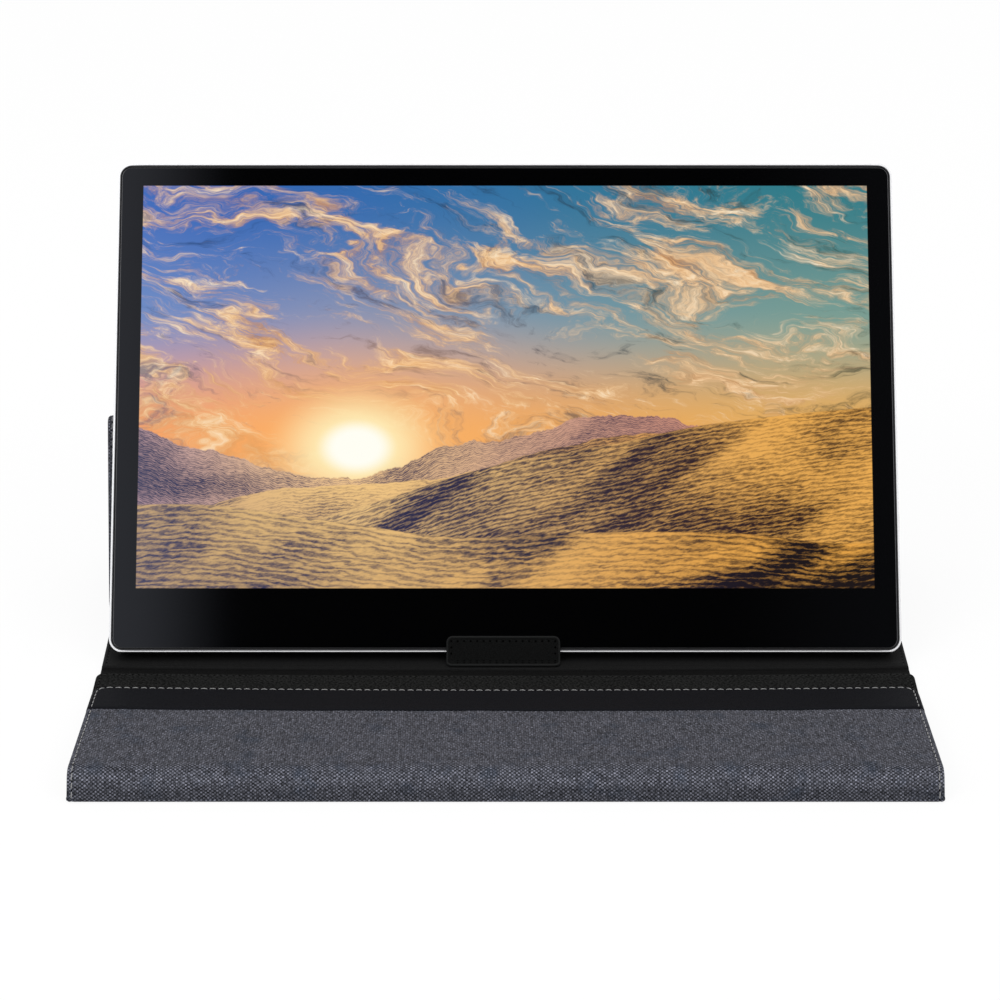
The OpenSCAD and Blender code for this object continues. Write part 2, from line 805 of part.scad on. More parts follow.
module flap_magnets() {
    color("#7d8084") flap_place() magnets(0);
}

spine_hem = [hem_w, crease_hem_w];
spine_leaf_len = spine_end - spine_start;

module spine_place() {
    at_leaf([0, 0], spine_angle, true) translate([0, spine_start, 0]) children();
}

// The outer cloth runs on down to the table
skin_lead = spine_start - canvas_t / tan(spine_angle);

module front_spine_canvas() {
    color("#45464b") spine_place()
        leaf_canvas(cover_w, cover_w, spine_leaf_len, 0, 0, spine_hem, skin_lead);
}

module front_spine_board() {
    color("#c9b38a") spine_place() leaf_board(cover_w, cover_w, spine_leaf_len, 0, 0, spine_hem);
}

module front_spine_lining() {
    color("#1d1d1e") spine_place() leaf_lining(cover_w, cover_w, spine_leaf_len, 0, 0);
}

module shoulder_crease() {
    color("#4b4c53") across(cover_w)
        translate(shoulder_c) bend(shoulder_r, crease_t, 90 + flap_angle, 90 + spine_angle);
}

front_leaf_len = front_base_len - bend_room;

module front_base_place() {
    at_leaf([bend_room, 0], 0) children();
}

module front_base_canvas() {
    color("#4b4c53") front_base_place()
        leaf_canvas(cover_w, cover_w, front_leaf_len, 0, crease_corner_r);
}

module front_base_board() {
    color("#c9b38a") front_base_place()
        leaf_board(cover_w, cover_w, front_leaf_len, 0, crease_corner_r);
}

module front_base_lining() {
    color("#1d1d1e") front_base_place()
        leaf_lining(cover_w, cover_w, front_leaf_len, 0, crease_corner_r);
}

// Flat cloth on the table, between two places along the base
module flat_crease(from, to, w) {
    in_frame() translate([-w / 2, from, 0]) cube([w, to - from, crease_t]);
}

module front_crease() {
    front_edge = (crease_t + canvas_t / cos(spine_angle)) / tan(spine_angle) + crease_gap;
    color("#1d1d1e") flat_crease(front_edge, bend_room, cover_w);
}

module base_crease() {
    color("#151515") flat_crease(front_base_len, rear_base_start, rear_w - 2);
}

module rear_base_place() {
    at_leaf([rear_base_start, 0], 0) children();
}

module rear_base_canvas() {
    color("#4b4c53") rear_base_place() leaf_canvas(rear_w, rear_w, rear_base_len, 1, 1);
}

module rear_base_board() {
    color("#c9b38a") rear_base_place() leaf_board(rear_w, rear_w, rear_base_len, 1, 1);
}

module rear_base_lining() {
    color("#151515") rear_base_place() leaf_lining(rear_w, rear_w, rear_base_len, 1, 1);
}

// Leather tab: a foot sewn to the base and a tongue that stands against the glass
tongue_len = tab_reach + (glass_foot[1] - panel_t) / cos(lean);
tongue_foot = glass_foot - tab_gap * back_dir - (glass_foot[1] - panel_t) / cos(lean) * up_dir;
tongue_front = tongue_foot[0] - tab_t / cos(lean);

module holding_tab() {
    color("#131313") translate([-tab_shift, 0, 0]) {
        in_frame() translate([0, tongue_foot[0], tongue_foot[1]]) rotate([90 - lean, 0, 0])
            linear_extrude(tab_t) leaf(tab_w, tab_w, tongue_len, 0, tab_corner_r);
        in_frame() translate([0, tongue_front - tab_foot, panel_t]) linear_extrude(tab_t)
            leaf(tab_w, tab_w, tab_foot + tab_t / 2, min(tab_corner_r, tab_foot), 0);
        across(tab_w) polygon([
            [tongue_front - eps, panel_t],
            tongue_foot,
            tongue_foot + 2 * tab_t * up_dir,
            tongue_foot + 2 * tab_t * up_dir - tab_t * back_dir,
            [tongue_front, panel_t + tab_t],
            [tongue_front - eps, panel_t + tab_t]
        ]);
    }
}

rear_spine_leaf_len = rear_spine_end - rear_spine_start;

module rear_spine_place() {
    at_leaf([rear_spine_start, 0], 0) children();
}

module rear_spine_canvas() {
    color("#4b4c53") rear_spine_place()
        leaf_canvas(rear_w, rear_w, rear_spine_leaf_len, 0, 0, spine_hem);
}

module rear_spine_board() {
    color("#c9b38a") rear_spine_place()
        leaf_board(rear_w, rear_w, rear_spine_leaf_len, 0, 0, spine_hem);
}

module rear_spine_lining() {
    color("#1d1d1e") rear_spine_place() leaf_lining(rear_w, rear_w, rear_spine_leaf_len, 0, 0);
}

module rear_creases() {
    back_edge = rear_bend + (crease_t - canvas_t / cos(rear_leg_angle)) / tan(rear_leg_angle) - crease_gap;
    color("#1d1d1e") {
        flat_crease(rear_base_end, rear_spine_start, rear_w);
        flat_crease(rear_spine_end, back_edge, rear_w);
    }
}

rear_leaf_len = rear_leg_len - leg_start;
rear_skin_lead = leg_start + canvas_t / tan(rear_leg_angle);

module rear_leg_place() {
    translate([-prop_shift, 0, 0]) at_leaf([rear_bend, 0], rear_leg_angle)
        translate([0, leg_start, 0]) children();
}

module rear_leg_canvas() {
    color("#4b4c53") rear_leg_place()
        leaf_canvas(rear_w, rear_w, rear_leaf_len, 0, 0, [hem_w, hem_w], rear_skin_lead);
}

module rear_leg_board() {
    color("#c9b38a") rear_leg_place() leaf_board(rear_w, rear_w, rear_leaf_len, 0, 0);
}

module rear_leg_lining() {
    color("#1d1d1e") rear_leg_place() leaf_lining(rear_w, rear_w, rear_leaf_len, 0, 0);
}

module top_crease() {
    color("#4b4c53") translate([-prop_shift, 0, 0]) across(rear_w)
        translate(fold_c) bend(fold_r, crease_t, rear_leg_angle - 90, 270 + front_leg_angle);
}

module front_leg_place() {
    start = fold_c + fold_r * [cos(front_leg_angle - 90), sin(front_leg_angle - 90)];
    translate([-prop_shift, 0, 0]) at_leaf(start, front_leg_angle)
        translate([0, fold_clearance, 0]) children();
}

front_leg_leaf_len = front_leg_len - fold_clearance;
strip_t = 0.5;
strip_margin = [20, 3];
strip_y = front_leg_leaf_len - hem_w - strip_margin[1] - strip_w;
strip_len = rear_w - 2 * strip_margin[0];

module steel_strip_shape(extra) {
    translate([-strip_len / 2 - extra, strip_y - extra, canvas_t])
        cube([strip_len + 2 * extra, strip_w + 2 * extra, strip_t + extra]);
}

module front_leg_canvas() {
    color("#4b4c53") front_leg_place()
        leaf_canvas(rear_w, rear_w, front_leg_leaf_len, 0, free_corner_r);
}

module front_leg_board() {
    color("#c9b38a") front_leg_place() difference() {
        leaf_board(rear_w, rear_w, front_leg_leaf_len, 0, free_corner_r);
        steel_strip_shape(pocket_gap);
    }
}

module front_leg_lining() {
    color("#1d1d1e") front_leg_place()
        leaf_lining(rear_w, rear_w, front_leg_leaf_len, 0, free_corner_r);
}

module steel_strip() {
    color("#7d8084") front_leg_place() steel_strip_shape(0);
}

cover_glass();
glass_bead();
rear_shell();
lcd_cell();
light_guide();
panel_tray();
foam_pads();
driver_board();
panel_ribbon();
main_board();
shield_can();
data_sockets();
video_socket();
headphone_jack();
speaker_left();
speaker_right();
button_board();
tact_switches();
board_screws();
power_button();
menu_rocker();
flap_canvas();
flap_board();
flap_lining();
leather_band();
flap_magnets();
front_spine_canvas();
front_spine_board();
front_spine_lining();
shoulder_crease();
front_base_canvas();
front_base_board();
front_base_lining();
front_crease();
base_crease();
rear_base_canvas();
rear_base_board();
rear_base_lining();
holding_tab();
rear_spine_canvas();
rear_spine_board();
rear_spine_lining();
rear_creases();
rear_leg_canvas();
rear_leg_board();
rear_leg_lining();
top_crease();
front_leg_canvas();
front_leg_board();
front_leg_lining();
steel_strip();
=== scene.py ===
import json
import math

import bpy
import numpy as np
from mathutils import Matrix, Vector


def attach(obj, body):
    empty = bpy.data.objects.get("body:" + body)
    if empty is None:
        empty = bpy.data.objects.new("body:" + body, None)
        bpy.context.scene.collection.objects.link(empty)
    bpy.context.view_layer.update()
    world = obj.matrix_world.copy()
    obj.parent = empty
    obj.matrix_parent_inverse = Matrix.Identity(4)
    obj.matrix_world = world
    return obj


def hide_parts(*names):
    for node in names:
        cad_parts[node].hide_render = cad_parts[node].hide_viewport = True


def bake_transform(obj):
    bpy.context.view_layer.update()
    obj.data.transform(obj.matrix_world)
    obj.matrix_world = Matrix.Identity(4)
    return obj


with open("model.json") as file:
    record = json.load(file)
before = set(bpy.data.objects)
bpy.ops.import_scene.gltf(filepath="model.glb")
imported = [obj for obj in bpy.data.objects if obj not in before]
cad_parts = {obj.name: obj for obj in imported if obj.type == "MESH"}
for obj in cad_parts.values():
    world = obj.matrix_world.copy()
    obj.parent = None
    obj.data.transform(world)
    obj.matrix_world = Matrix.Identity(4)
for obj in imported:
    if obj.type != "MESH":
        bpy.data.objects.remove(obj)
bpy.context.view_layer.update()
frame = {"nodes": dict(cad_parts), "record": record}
nodes = frame["nodes"]
scene = bpy.context.scene
print("frame loaded:", len(nodes), "nodes")

# camera

view = {
    "place": (-0.00242, -1.32866, 0.68235),
    "pitch": 24.3,
    "lens": 115.2,
}


def addObject(name, data):
    made = bpy.data.objects.new(name, data)
    scene.collection.objects.link(made)
    return made


def makeCamera():
    camera = bpy.data.cameras.new("viewCamera")
    camera.lens = view["lens"]
    camera.sensor_width = 36
    camera.clip_end = 50
    holder = addObject("viewCamera", camera)
    holder.location = view["place"]
    holder.rotation_euler = (math.radians(90 - view["pitch"]), 0, 0)
    scene.camera = holder


makeCamera()

# node helpers


def put(tree, kind, values=None, **settings):
    made = tree.nodes.new(kind)
    for key, value in settings.items():
        setattr(made, key, value)
    for key, value in (values or {}).items():
        socket = made.inputs[key]
        if isinstance(value, bpy.types.NodeSocket):
            tree.links.new(value, socket)
        else:
            socket.default_value = value
    return made


def feed(node, name, value):
    node.id_data.links.new(value, node.inputs[name])


def calc(tree, operation, *values, clamp=False):
    made = put(tree, "ShaderNodeMath", {i: v for i, v in enumerate(values)}, operation=operation)
    made.use_clamp = clamp
    return made.outputs[0]


def plus(tree, a, b):
    return calc(tree, "ADD", a, b)


def minus(tree, a, b):
    return calc(tree, "SUBTRACT", a, b)


def times(tree, a, b, clamp=False):
    return calc(tree, "MULTIPLY", a, b, clamp=clamp)


def vec(tree, operation, *values):
    made = put(tree, "ShaderNodeVectorMath", {i: v for i, v in enumerate(values)}, operation=operation)
    return made.outputs["Value" if operation in ("DOT_PRODUCT", "LENGTH", "DISTANCE") else "Vector"]


def ramp(tree, value, stops, smooth=False):
    made = put(tree, "ShaderNodeValToRGB", {"Fac": value})
    made.color_ramp.interpolation = "EASE" if smooth else "LINEAR"
    points = made.color_ramp.elements
    while len(points) < len(stops):
        points.new(0.5)
    for point, (place, colour) in zip(points, stops):
        point.position = place
        point.color = (*colour, 1)
    return made.outputs["Color"]


def mixed(tree, share, a, b, blend="MIX"):
    made = put(tree, "ShaderNodeMix", data_type="RGBA", blend_type=blend)
    for socket, value in zip((made.inputs[0], made.inputs[6], made.inputs[7]), (share, a, b)):
        if isinstance(value, bpy.types.NodeSocket):
            tree.links.new(value, socket)
        else:
            socket.default_value = (*value, 1) if isinstance(value, tuple) else value
    return made.outputs[2]


def grey(tree, level):
    return put(tree, "ShaderNodeCombineColor", {i: level for i in range(3)}).outputs[0]


def scaled(tree, colour, level):
    # a colour times a level, which is a number or a socket
    tone = grey(tree, level) if isinstance(level, bpy.types.NodeSocket) else (level,) * 3
    return mixed(tree, 1.0, colour, tone, "MULTIPLY")


def joined(tree, x, y, z):
    return put(tree, "ShaderNodeCombineXYZ", {0: x, 1: y, 2: z}).outputs[0]


def parted(tree, vector):
    return put(tree, "ShaderNodeSeparateXYZ", {0: vector}).outputs


def stretched(tree, place, across, along):
    return vec(tree, "MULTIPLY", place, (across, along, 1.0))


def turnedBy(tree, place, angle):
    values = {"Vector": place, "Angle": angle}
    return put(tree, "ShaderNodeVectorRotate", values, rotation_type="Z_AXIS").outputs[0]


def spread(tree, value, low, high, toLow=0.0, toHigh=1.0, smooth=True):
    made = put(tree, "ShaderNodeMapRange", {0: value, 1: low, 2: high, 3: toLow, 4: toHigh})
    made.interpolation_type = "SMOOTHSTEP" if smooth else "LINEAR"
    return made.outputs[0]


def noise(tree, place, scale, detail=4.0, rough=0.55, bend=0.0):
    return put(
        tree, "ShaderNodeTexNoise",
        {"Vector": place, "Scale": scale, "Detail": detail, "Roughness": rough, "Distortion": bend},
    )


def newGroup(name, inputs, outputs):
    tree = bpy.data.node_groups.new(name, "ShaderNodeTree")
    for label, kind, value in inputs:
        socket = tree.interface.new_socket(name=label, in_out="INPUT", socket_type=kind)
        if value is not None:
            socket.default_value = value
    for label, kind in outputs:
        tree.interface.new_socket(name=label, in_out="OUTPUT", socket_type=kind)
    return tree, tree.nodes.new("NodeGroupInput"), tree.nodes.new("NodeGroupOutput")


def useGroup(tree, group, values):
    made = tree.nodes.new("ShaderNodeGroup")
    made.node_tree = group
    for key, value in values.items():
        if isinstance(value, bpy.types.NodeSocket):
            tree.links.new(value, made.inputs[key])
        else:
            made.inputs[key].default_value = value
    return made


colourKind, floatKind, vectorKind = "NodeSocketColor", "NodeSocketFloat", "NodeSocketVector"

# shared effects


weave = {
    "closer": 0.77,                             # pitch along the sheet as a share of the pitch across
    "drifts": ((60, 0.0022), (600, 0.0004)),    # scale and reach of the threads' wander
    "roundness": 2.4, "dip": 2.4,
    "warpTones": (0.45, 1.5), "weftTones": (0.5, 2.4),
    "dyeScale": 75, "dyeShare": 0.5,
    # gap is the level of painted shade between the threads
    "fuzz": (1100.0, 700.0), "darkest": 0.12, "gap": 0.35,
}


def makeWeaveGroup():
    # plain weave of light warp and dark weft threads that pass over each other in turn
    tree, start, end = newGroup(
        "plainWeave",
        [
            ("Vector", vectorKind, None), ("Pitch", floatKind, 0.001), ("Mottle", floatKind, 0.5),
            ("Warp", colourKind, (0.15, 0.15, 0.17, 1)), ("Weft", colourKind, (0.02, 0.02, 0.024, 1)),
            ("Tint", colourKind, (0.05, 0.07, 0.1, 1)),
        ],
        [("Color", colourKind), ("Height", floatKind)],
    )
    place, pitch = start.outputs["Vector"], start.outputs["Pitch"]

    def wander(scale, reach):
        drift = noise(tree, place, scale, 1).outputs["Color"]
        push = vec(tree, "SCALE", vec(tree, "SUBTRACT", drift, (0.5, 0.5, 0.5)))
        push.node.inputs["Scale"].default_value = reach
        return push

    slow, quick = (wander(*drift) for drift in weave["drifts"])
    moved = vec(tree, "ADD", place, vec(tree, "ADD", slow, quick))
    cell = joined(tree, pitch, times(tree, pitch, weave["closer"]), 1.0)
    x, y, _ = parted(tree, vec(tree, "DIVIDE", moved, cell))
    column, row = calc(tree, "FLOOR", x), calc(tree, "FLOOR", y)
    across = minus(tree, calc(tree, "FRACT", x), 0.5)
    along = minus(tree, calc(tree, "FRACT", y), 0.5)
    over = calc(tree, "GREATER_THAN", calc(tree, "FLOORED_MODULO", plus(tree, column, row), 2.0), 0.5)

    def thread(side, length):
        # round across itself, dipping at its ends
        bulge = calc(tree, "POWER", calc(tree, "ABSOLUTE", times(tree, side, 2.0)), weave["roundness"])
        dip = calc(tree, "COSINE", times(tree, length, weave["dip"]))
        return times(tree, minus(tree, 1.0, bulge), dip)

    weft, warp = thread(along, across), thread(across, along)
    height = put(tree, "ShaderNodeMix", {0: over, 2: weft, 3: warp}).outputs[0]

    def threadColour(name, line, tones):
        # tone of each thread drifts slowly along it
        tone = noise(tree, joined(tree, *line), 1.0, 2, 0.7).outputs[0]
        low, high = (scaled(tree, start.outputs[name], level) for level in tones)
        return mixed(tree, spread(tree, tone, 0.28, 0.72), low, high)

    warpLine = (times(tree, column, 7.31), times(tree, y, 0.16), 3.0)
    weftLine = (times(tree, x, 0.16), times(tree, row, 5.17), 9.0)
    weftColour = threadColour("Weft", weftLine, weave["weftTones"])
    warpColour = threadColour("Warp", warpLine, weave["warpTones"])
    colour = mixed(tree, over, weftColour, warpColour)
    # uneven dye and fuzz
    dye = spread(tree, noise(tree, place, weave["dyeScale"], 3, 0.6).outputs[0], 0.5, 0.75)
    colour = mixed(tree, times(tree, dye, weave["dyeShare"]), colour, start.outputs["Tint"])
    fuzz = noise(tree, stretched(tree, moved, *weave["fuzz"]), 1.0, 2, 0.65).outputs[0]
    level = plus(tree, 1.0, times(tree, minus(tree, fuzz, 0.5), times(tree, start.outputs["Mottle"], 4.0)))
    level = calc(tree, "MAXIMUM", level, weave["darkest"])
    # painted shade: darker where the threads dip into the gaps between them
    level = times(tree, level, spread(tree, height, 0.0, 0.6, weave["gap"], 1.0))
    feed(end, "Color", scaled(tree, colour, level))
    feed(end, "Height", plus(tree, height, times(tree, fuzz, 0.4)))
    return tree


def makeGrainGroup():
    # grain of synthetic leather: rounded cells with fine creases between them
    tree, start, end = newGroup(
        "leatherGrain",
        [("Vector", vectorKind, None), ("Size", floatKind, 1400.0)],
        [("Height", floatKind), ("Crease", floatKind)],
    )
    place = start.outputs["Vector"]
    cells = put(
        tree, "ShaderNodeTexVoronoi", {"Vector": place, "Scale": start.outputs["Size"], "Randomness": 0.9},
        feature="DISTANCE_TO_EDGE")
    crease = spread(tree, cells.outputs["Distance"], 0.0, 0.16)
    soft = noise(tree, place, 420, 3).outputs[0]
    feed(end, "Height", plus(tree, crease, times(tree, soft, 0.7)))
    feed(end, "Crease", crease)
    return tree


nap = {"fibres": (900.0, 1150.0), "patches": (28.0, 70.0), "patchShare": 0.14}


def makeNapGroup():
    # brushed nap: short fibres lying in one direction, with rubbed lighter patches
    tree, start, end = newGroup(
        "brushedNap",
        [("Vector", vectorKind, None), ("Slant", floatKind, 0.6)],
        [("Tone", floatKind), ("Height", floatKind)],
    )
    turned = turnedBy(tree, start.outputs["Vector"], start.outputs["Slant"])
    fibres = noise(tree, stretched(tree, turned, *nap["fibres"]), 1.0, 3, 0.65).outputs[0]
    patches = noise(tree, stretched(tree, turned, *nap["patches"]), 1.0, 4, 0.6).outputs[0]
    share = nap["patchShare"]
    tone = plus(tree, times(tree, fibres, 1 - share), times(tree, patches, share))
    feed(end, "Tone", tone)
    feed(end, "Height", fibres)
    return tree


def makeSpeckGroup():
    # fine speckle with slow drift, for blasted metal, mouldings and boards
    tree, start, end = newGroup(
        "fineSpeck",
        [("Vector", vectorKind, None), ("Scale", floatKind, 3000.0), ("Stretch", floatKind, 1.0)],
        [("Fine", floatKind), ("Slow", floatKind)],
    )
    place = start.outputs["Vector"]
    longer = vec(tree, "MULTIPLY", place, joined(tree, start.outputs["Stretch"], 1.0, 1.0))
    feed(end, "Fine", noise(tree, longer, start.outputs["Scale"], 3, 0.6).outputs[0])
    feed(end, "Slow", noise(tree, place, 30, 4).outputs[0])
    return tree


weaveGroup = makeWeaveGroup()
grainGroup = makeGrainGroup()
napGroup = makeNapGroup()
speckGroup = makeSpeckGroup()

# materials


def newMaterial(name, roughness=0.5, metallic=0.0, specular=0.5, **more):
    material = bpy.data.materials.new(name)
    material.use_nodes = True
    tree = material.node_tree
    shader = tree.nodes["Principled BSDF"]
    shader.inputs["Roughness"].default_value = roughness
    shader.inputs["Metallic"].default_value = metallic
    shader.inputs["Specular IOR Level"].default_value = specular
    for key, value in more.items():
        shader.inputs[key].default_value = value
    return material, tree, shader


def clothPlace(tree):
    # unrolled place on a sheet, in metres: across, then along
    return put(tree, "ShaderNodeUVMap", uv_map="clothMap").outputs[0]


def objectPlace(tree):
    return put(tree, "ShaderNodeTexCoord").outputs["Object"]


def bumped(tree, shader, height, strength, distance):
    bump = put(tree, "ShaderNodeBump", {"Height": height, "Strength": strength, "Distance": distance})
    feed(shader, "Normal", bump.outputs[0])


canvasLook = {
    "pitch": 0.00100, "mottle": 0.78,
    "warp": (0.119, 0.122, 0.149), "weft": (0.019, 0.020, 0.024), "tint": (0.030, 0.042, 0.064),
    "bump": 0.8, "depth": 0.00012,
}


def makeCanvas():
    material, tree, shader = newMaterial("heatherCanvas", 0.95, specular=0.08)
    shader.inputs["Sheen Weight"].default_value = 0.03
    shader.inputs["Sheen Roughness"].default_value = 0.5
    cloth = useGroup(tree, weaveGroup, {
        "Vector": clothPlace(tree), "Pitch": canvasLook["pitch"], "Mottle": canvasLook["mottle"],
        **{name: (*canvasLook[name.lower()], 1) for name in ("Warp", "Weft", "Tint")},
    })
    # sheets carry a painted light level along their length: painted highlight on a roll, painted shade below
    # it
    paintedLevel = plus(tree, 1.0, put(tree, "ShaderNodeAttribute", attribute_name="paintedLight").outputs["Fac"])
    feed(shader, "Base Color", scaled(tree, cloth.outputs["Color"], paintedLevel))
    bumped(tree, shader, cloth.outputs["Height"], canvasLook["bump"], canvasLook["depth"])
    return material


def cornerDistance(tree, x, y, width, height, radius):
    # distance to the outline of a plate with round corners, negative inside
    dx, dy = (
        calc(tree, "MAXIMUM", minus(tree, calc(tree, "ABSOLUTE", v), size / 2 - radius), 0.0)
        for v, size in ((x, width), (y, height)))
    return minus(tree, calc(tree, "SQRT", plus(tree, times(tree, dx, dx), times(tree, dy, dy))), radius)


leather = {"creaseTone": 0.55, "edgeHighlightTone": 2.3, "edgeHighlightFrom": -0.0011, "edgeHighlightTo": -0.0004, "depth": 0.00008}


def makeLeather(name, base, roughness, size, bump, gloss=0.12, plate=None):
    # plate is the width, length and corner radius of a piece with a painted highlight along its rounded cut
    # edge
    material, tree, shader = newMaterial(name, roughness, specular=gloss)
    grain = useGroup(tree, grainGroup, {"Vector": clothPlace(tree), "Size": size})
    crease = grain.outputs["Crease"]
    colour = mixed(tree, crease, tuple(c * leather["creaseTone"] for c in base), base)
    if plate:
        x, y, _ = parted(tree, clothPlace(tree))
        edge = cornerDistance(tree, x, minus(tree, y, plate[1] / 2), *plate)
        # painted highlight: lighter colour along the cut edge
        edgeHighlight = spread(tree, edge, leather["edgeHighlightFrom"], leather["edgeHighlightTo"])
        colour = mixed(tree, edgeHighlight, colour, tuple(c * leather["edgeHighlightTone"] for c in base))
    feed(shader, "Base Color", colour)
    feed(shader, "Roughness", spread(tree, crease, 0, 1, roughness + 0.2, roughness, False))
    bumped(tree, shader, grain.outputs["Height"], bump, leather["depth"])
    return material


def makeNap(name, low, high, bump):
    material, tree, shader = newMaterial(name, 0.95, specular=0.01)
    brushed = useGroup(tree, napGroup, {"Vector": clothPlace(tree)})
    feed(shader, "Base Color", ramp(tree, brushed.outputs["Tone"], [(0.40, low), (0.60, high)]))
    bumped(tree, shader, brushed.outputs["Height"], bump, 0.00012)
    return material


def makeSpecked(name, base, roughness, metallic=0.0, scale=3000.0, stretch=1.0,
                contrast=0.12, bump=0.15, **more):
    material, tree, shader = newMaterial(name, roughness, metallic, **more)
    speck = useGroup(tree, speckGroup, {"Vector": objectPlace(tree), "Scale": scale, "Stretch": stretch})
    fine, slow = speck.outputs["Fine"], speck.outputs["Slow"]
    low = tuple(c * (1 - contrast) for c in base)
    high = tuple(min(1.0, c * (1 + contrast)) for c in base)
    both = plus(tree, times(tree, fine, 0.6), times(tree, slow, 0.4))
    feed(shader, "Base Color", mixed(tree, spread(tree, both, 0.35, 0.65), low, high))
    gloss = spread(tree, slow, 0.3, 0.7, roughness * 0.88, min(1, roughness * 1.12), False)
    feed(shader, "Roughness", gloss)
    if bump:
        bumped(tree, shader, fine, bump, 0.00003)
    return material


def makeThread(name, low, high):
    material, tree, shader = newMaterial(name, 0.7, specular=0.3)
    twist = put(
        tree, "ShaderNodeTexWave", {"Vector": clothPlace(tree), "Scale": 1400.0, "Distortion": 1.5},
        bands_direction="DIAGONAL").outputs["Fac"]
    feed(shader, "Base Color", mixed(tree, twist, low, high))
    bumped(tree, shader, twist, 0.6, 0.00008)
    return material


# picture on the screen

screen = {
    "foot": (0.0, 0.002707, 0.002135),      # monitor's lower back edge
    "lean": 34.0,
    "bottom": 0.0298, "front": 0.0088,      # picture's lower edge up the glass, glass above the back
    "width": 0.3442, "height": 0.1936,
    "glass": (0.3648, 0.2308, 0.0048), "glassFoot": 0.0016,
    "glow": 1.0,
    # the ground edge's grey band carries a painted highlight, brighter at the sides than at the ends
    "groundGlint": (-0.00052, -0.0004),          # ground edge of the glass, from inside to outside
    "groundGlintSides": (0.05, 0.05, 0.055), "groundGlintEnds": (0.011, 0.011, 0.012),
    "black": (0.0004, 0.0004, 0.0005),
    "margin": 0.0015,                       # soft border of the lit picture
}

sky = {
    "high": ((0.035, 0.13, 0.47), (0.03, 0.20, 0.24)),      # left and right
    "middle": ((0.16, 0.27, 0.55), (0.22, 0.36, 0.30)),
    "low": ((0.95, 0.36, 0.12), (0.80, 0.42, 0.10)),
    "shade": ((0.012, 0.05, 0.16), (0.03, 0.045, 0.03)),
    "clouds": [
        (0.30, (0.16, 0.07, 0.04)), (0.42, (0.55, 0.27, 0.11)),
        (0.55, (0.86, 0.56, 0.30)), (0.70, (1.0, 0.86, 0.64)),
    ],
    "drift": (1.3, 2.4), "push": (0.7, 0.45, 0.0), "slant": 0.32,
    "streaks": (2.1, 9.0), "wisps": (6.0, 26.0), "shades": (3.4, 15.0), "shadeShare": 0.72,
    "sun": (-0.36, 0.345, 0.0), "flatten": (0.72, 1.0, 0.0),
    "halo": (1.0, 0.50, 0.16), "core": (1.0, 0.88, 0.50), "disc": (1.0, 0.99, 0.90),
}

# hills from far to near: base, rise, waves, seed, roughness, sunlit, shaded, ripple scale
hills = [
    (0.36, 0.03, 1.6, 3.1, 0.05, (0.62, 0.27, 0.16), (0.20, 0.10, 0.14), 60),
    (0.33, 0.13, 1.1, 7.4, 0.03, (0.80, 0.36, 0.08), (0.09, 0.035, 0.02), 42),
    (0.27, 0.20, 0.9, 11.8, 0.0, (0.84, 0.42, 0.09), (0.05, 0.022, 0.018), 30),
    (0.17, -0.10, 0.8, 17.3, 0.0, (0.85, 0.40, 0.07), (0.020, 0.012, 0.012), 22),
]

hillLook = {
    "swell": 0.42,                                  # height of the slow swell of a hill line
    "bend": 1.4,                                    # how far crest lines bend as they run down the hill
    "face": (2.2, 3.0), "faceLight": 1.7,
    "ripples": (0.35, 1.0), "rippleLight": 0.26,
    "grit": (60.0, 130.0), "gritLight": 0.75,
    "fall": 0.4,                                    # darker down the hill
    "coolLit": (0.62, 0.85, 2.4), "coolDark": (0.03, 0.035, 0.10), "darkTone": 0.55,
    "glow": (1.0, 0.66, 0.26), "glowShare": 0.85,
}


def monitorPlace(tree, up=0.0, out=0.0, scale=1.0):
    # place on the leaning monitor: across it, up its face and out of it
    lean, foot = math.radians(screen["lean"]), screen["foot"]
    origin = (
        0,
        foot[1] + up * math.sin(lean) - out * math.cos(lean),
        foot[2] + up * math.cos(lean) + out * math.sin(lean),
    )
    return put(
        tree, "ShaderNodeMapping",
        {"Vector": objectPlace(tree), "Location": origin, "Rotation": (math.radians(90) - lean, 0, 0),
         "Scale": (scale,) * 3},
        vector_type="TEXTURE",
    ).outputs[0]


def paintSky(tree, place, y, coolShare):
    # streaked clouds over a sky that is warm below and cool above
    drift = noise(tree, stretched(tree, place, *sky["drift"]), 1.0, 5, 0.55).outputs["Color"]
    push = vec(tree, "MULTIPLY", vec(tree, "SUBTRACT", drift, (0.5, 0.5, 0.5)), sky["push"])
    turned = turnedBy(tree, vec(tree, "ADD", place, push), sky["slant"])
    streaks = noise(tree, stretched(tree, turned, *sky["streaks"]), 1.0, 12, 0.68, 0.6).outputs[0]
    wisps = noise(tree, stretched(tree, turned, *sky["wisps"]), 1.0, 10, 0.72, 0.9).outputs[0]
    shades = noise(tree, stretched(tree, turned, *sky["shades"]), 1.3, 9, 0.7, 0.5).outputs[0]
    high, middle, low, shade = (mixed(tree, coolShare, *sky[k]) for k in ("high", "middle", "low", "shade"))
    colour = mixed(tree, spread(tree, y, 0.55, 1.02), middle, high)
    colour = mixed(tree, spread(tree, y, 0.70, 0.36), colour, low)
    cloudiness = plus(tree, streaks, times(tree, minus(tree, wisps, 0.5), 0.55))
    colour = mixed(tree, spread(tree, cloudiness, 0.46, 0.66), colour, ramp(tree, wisps, sky["clouds"]))
    return mixed(tree, times(tree, spread(tree, shades, 0.52, 0.68), sky["shadeShare"]), colour, shade)


def paintSun(tree, colour, away):
    # low sun and its glow
    halo = calc(tree, "POWER", spread(tree, away, 0.62, 0.0, smooth=False), 2.6)
    colour = mixed(tree, times(tree, halo, 0.95, clamp=True), colour, sky["halo"])
    colour = mixed(tree, spread(tree, away, 0.17, 0.03), colour, sky["core"])
    return mixed(tree, spread(tree, away, 0.075, 0.035), colour, sky["disc"])


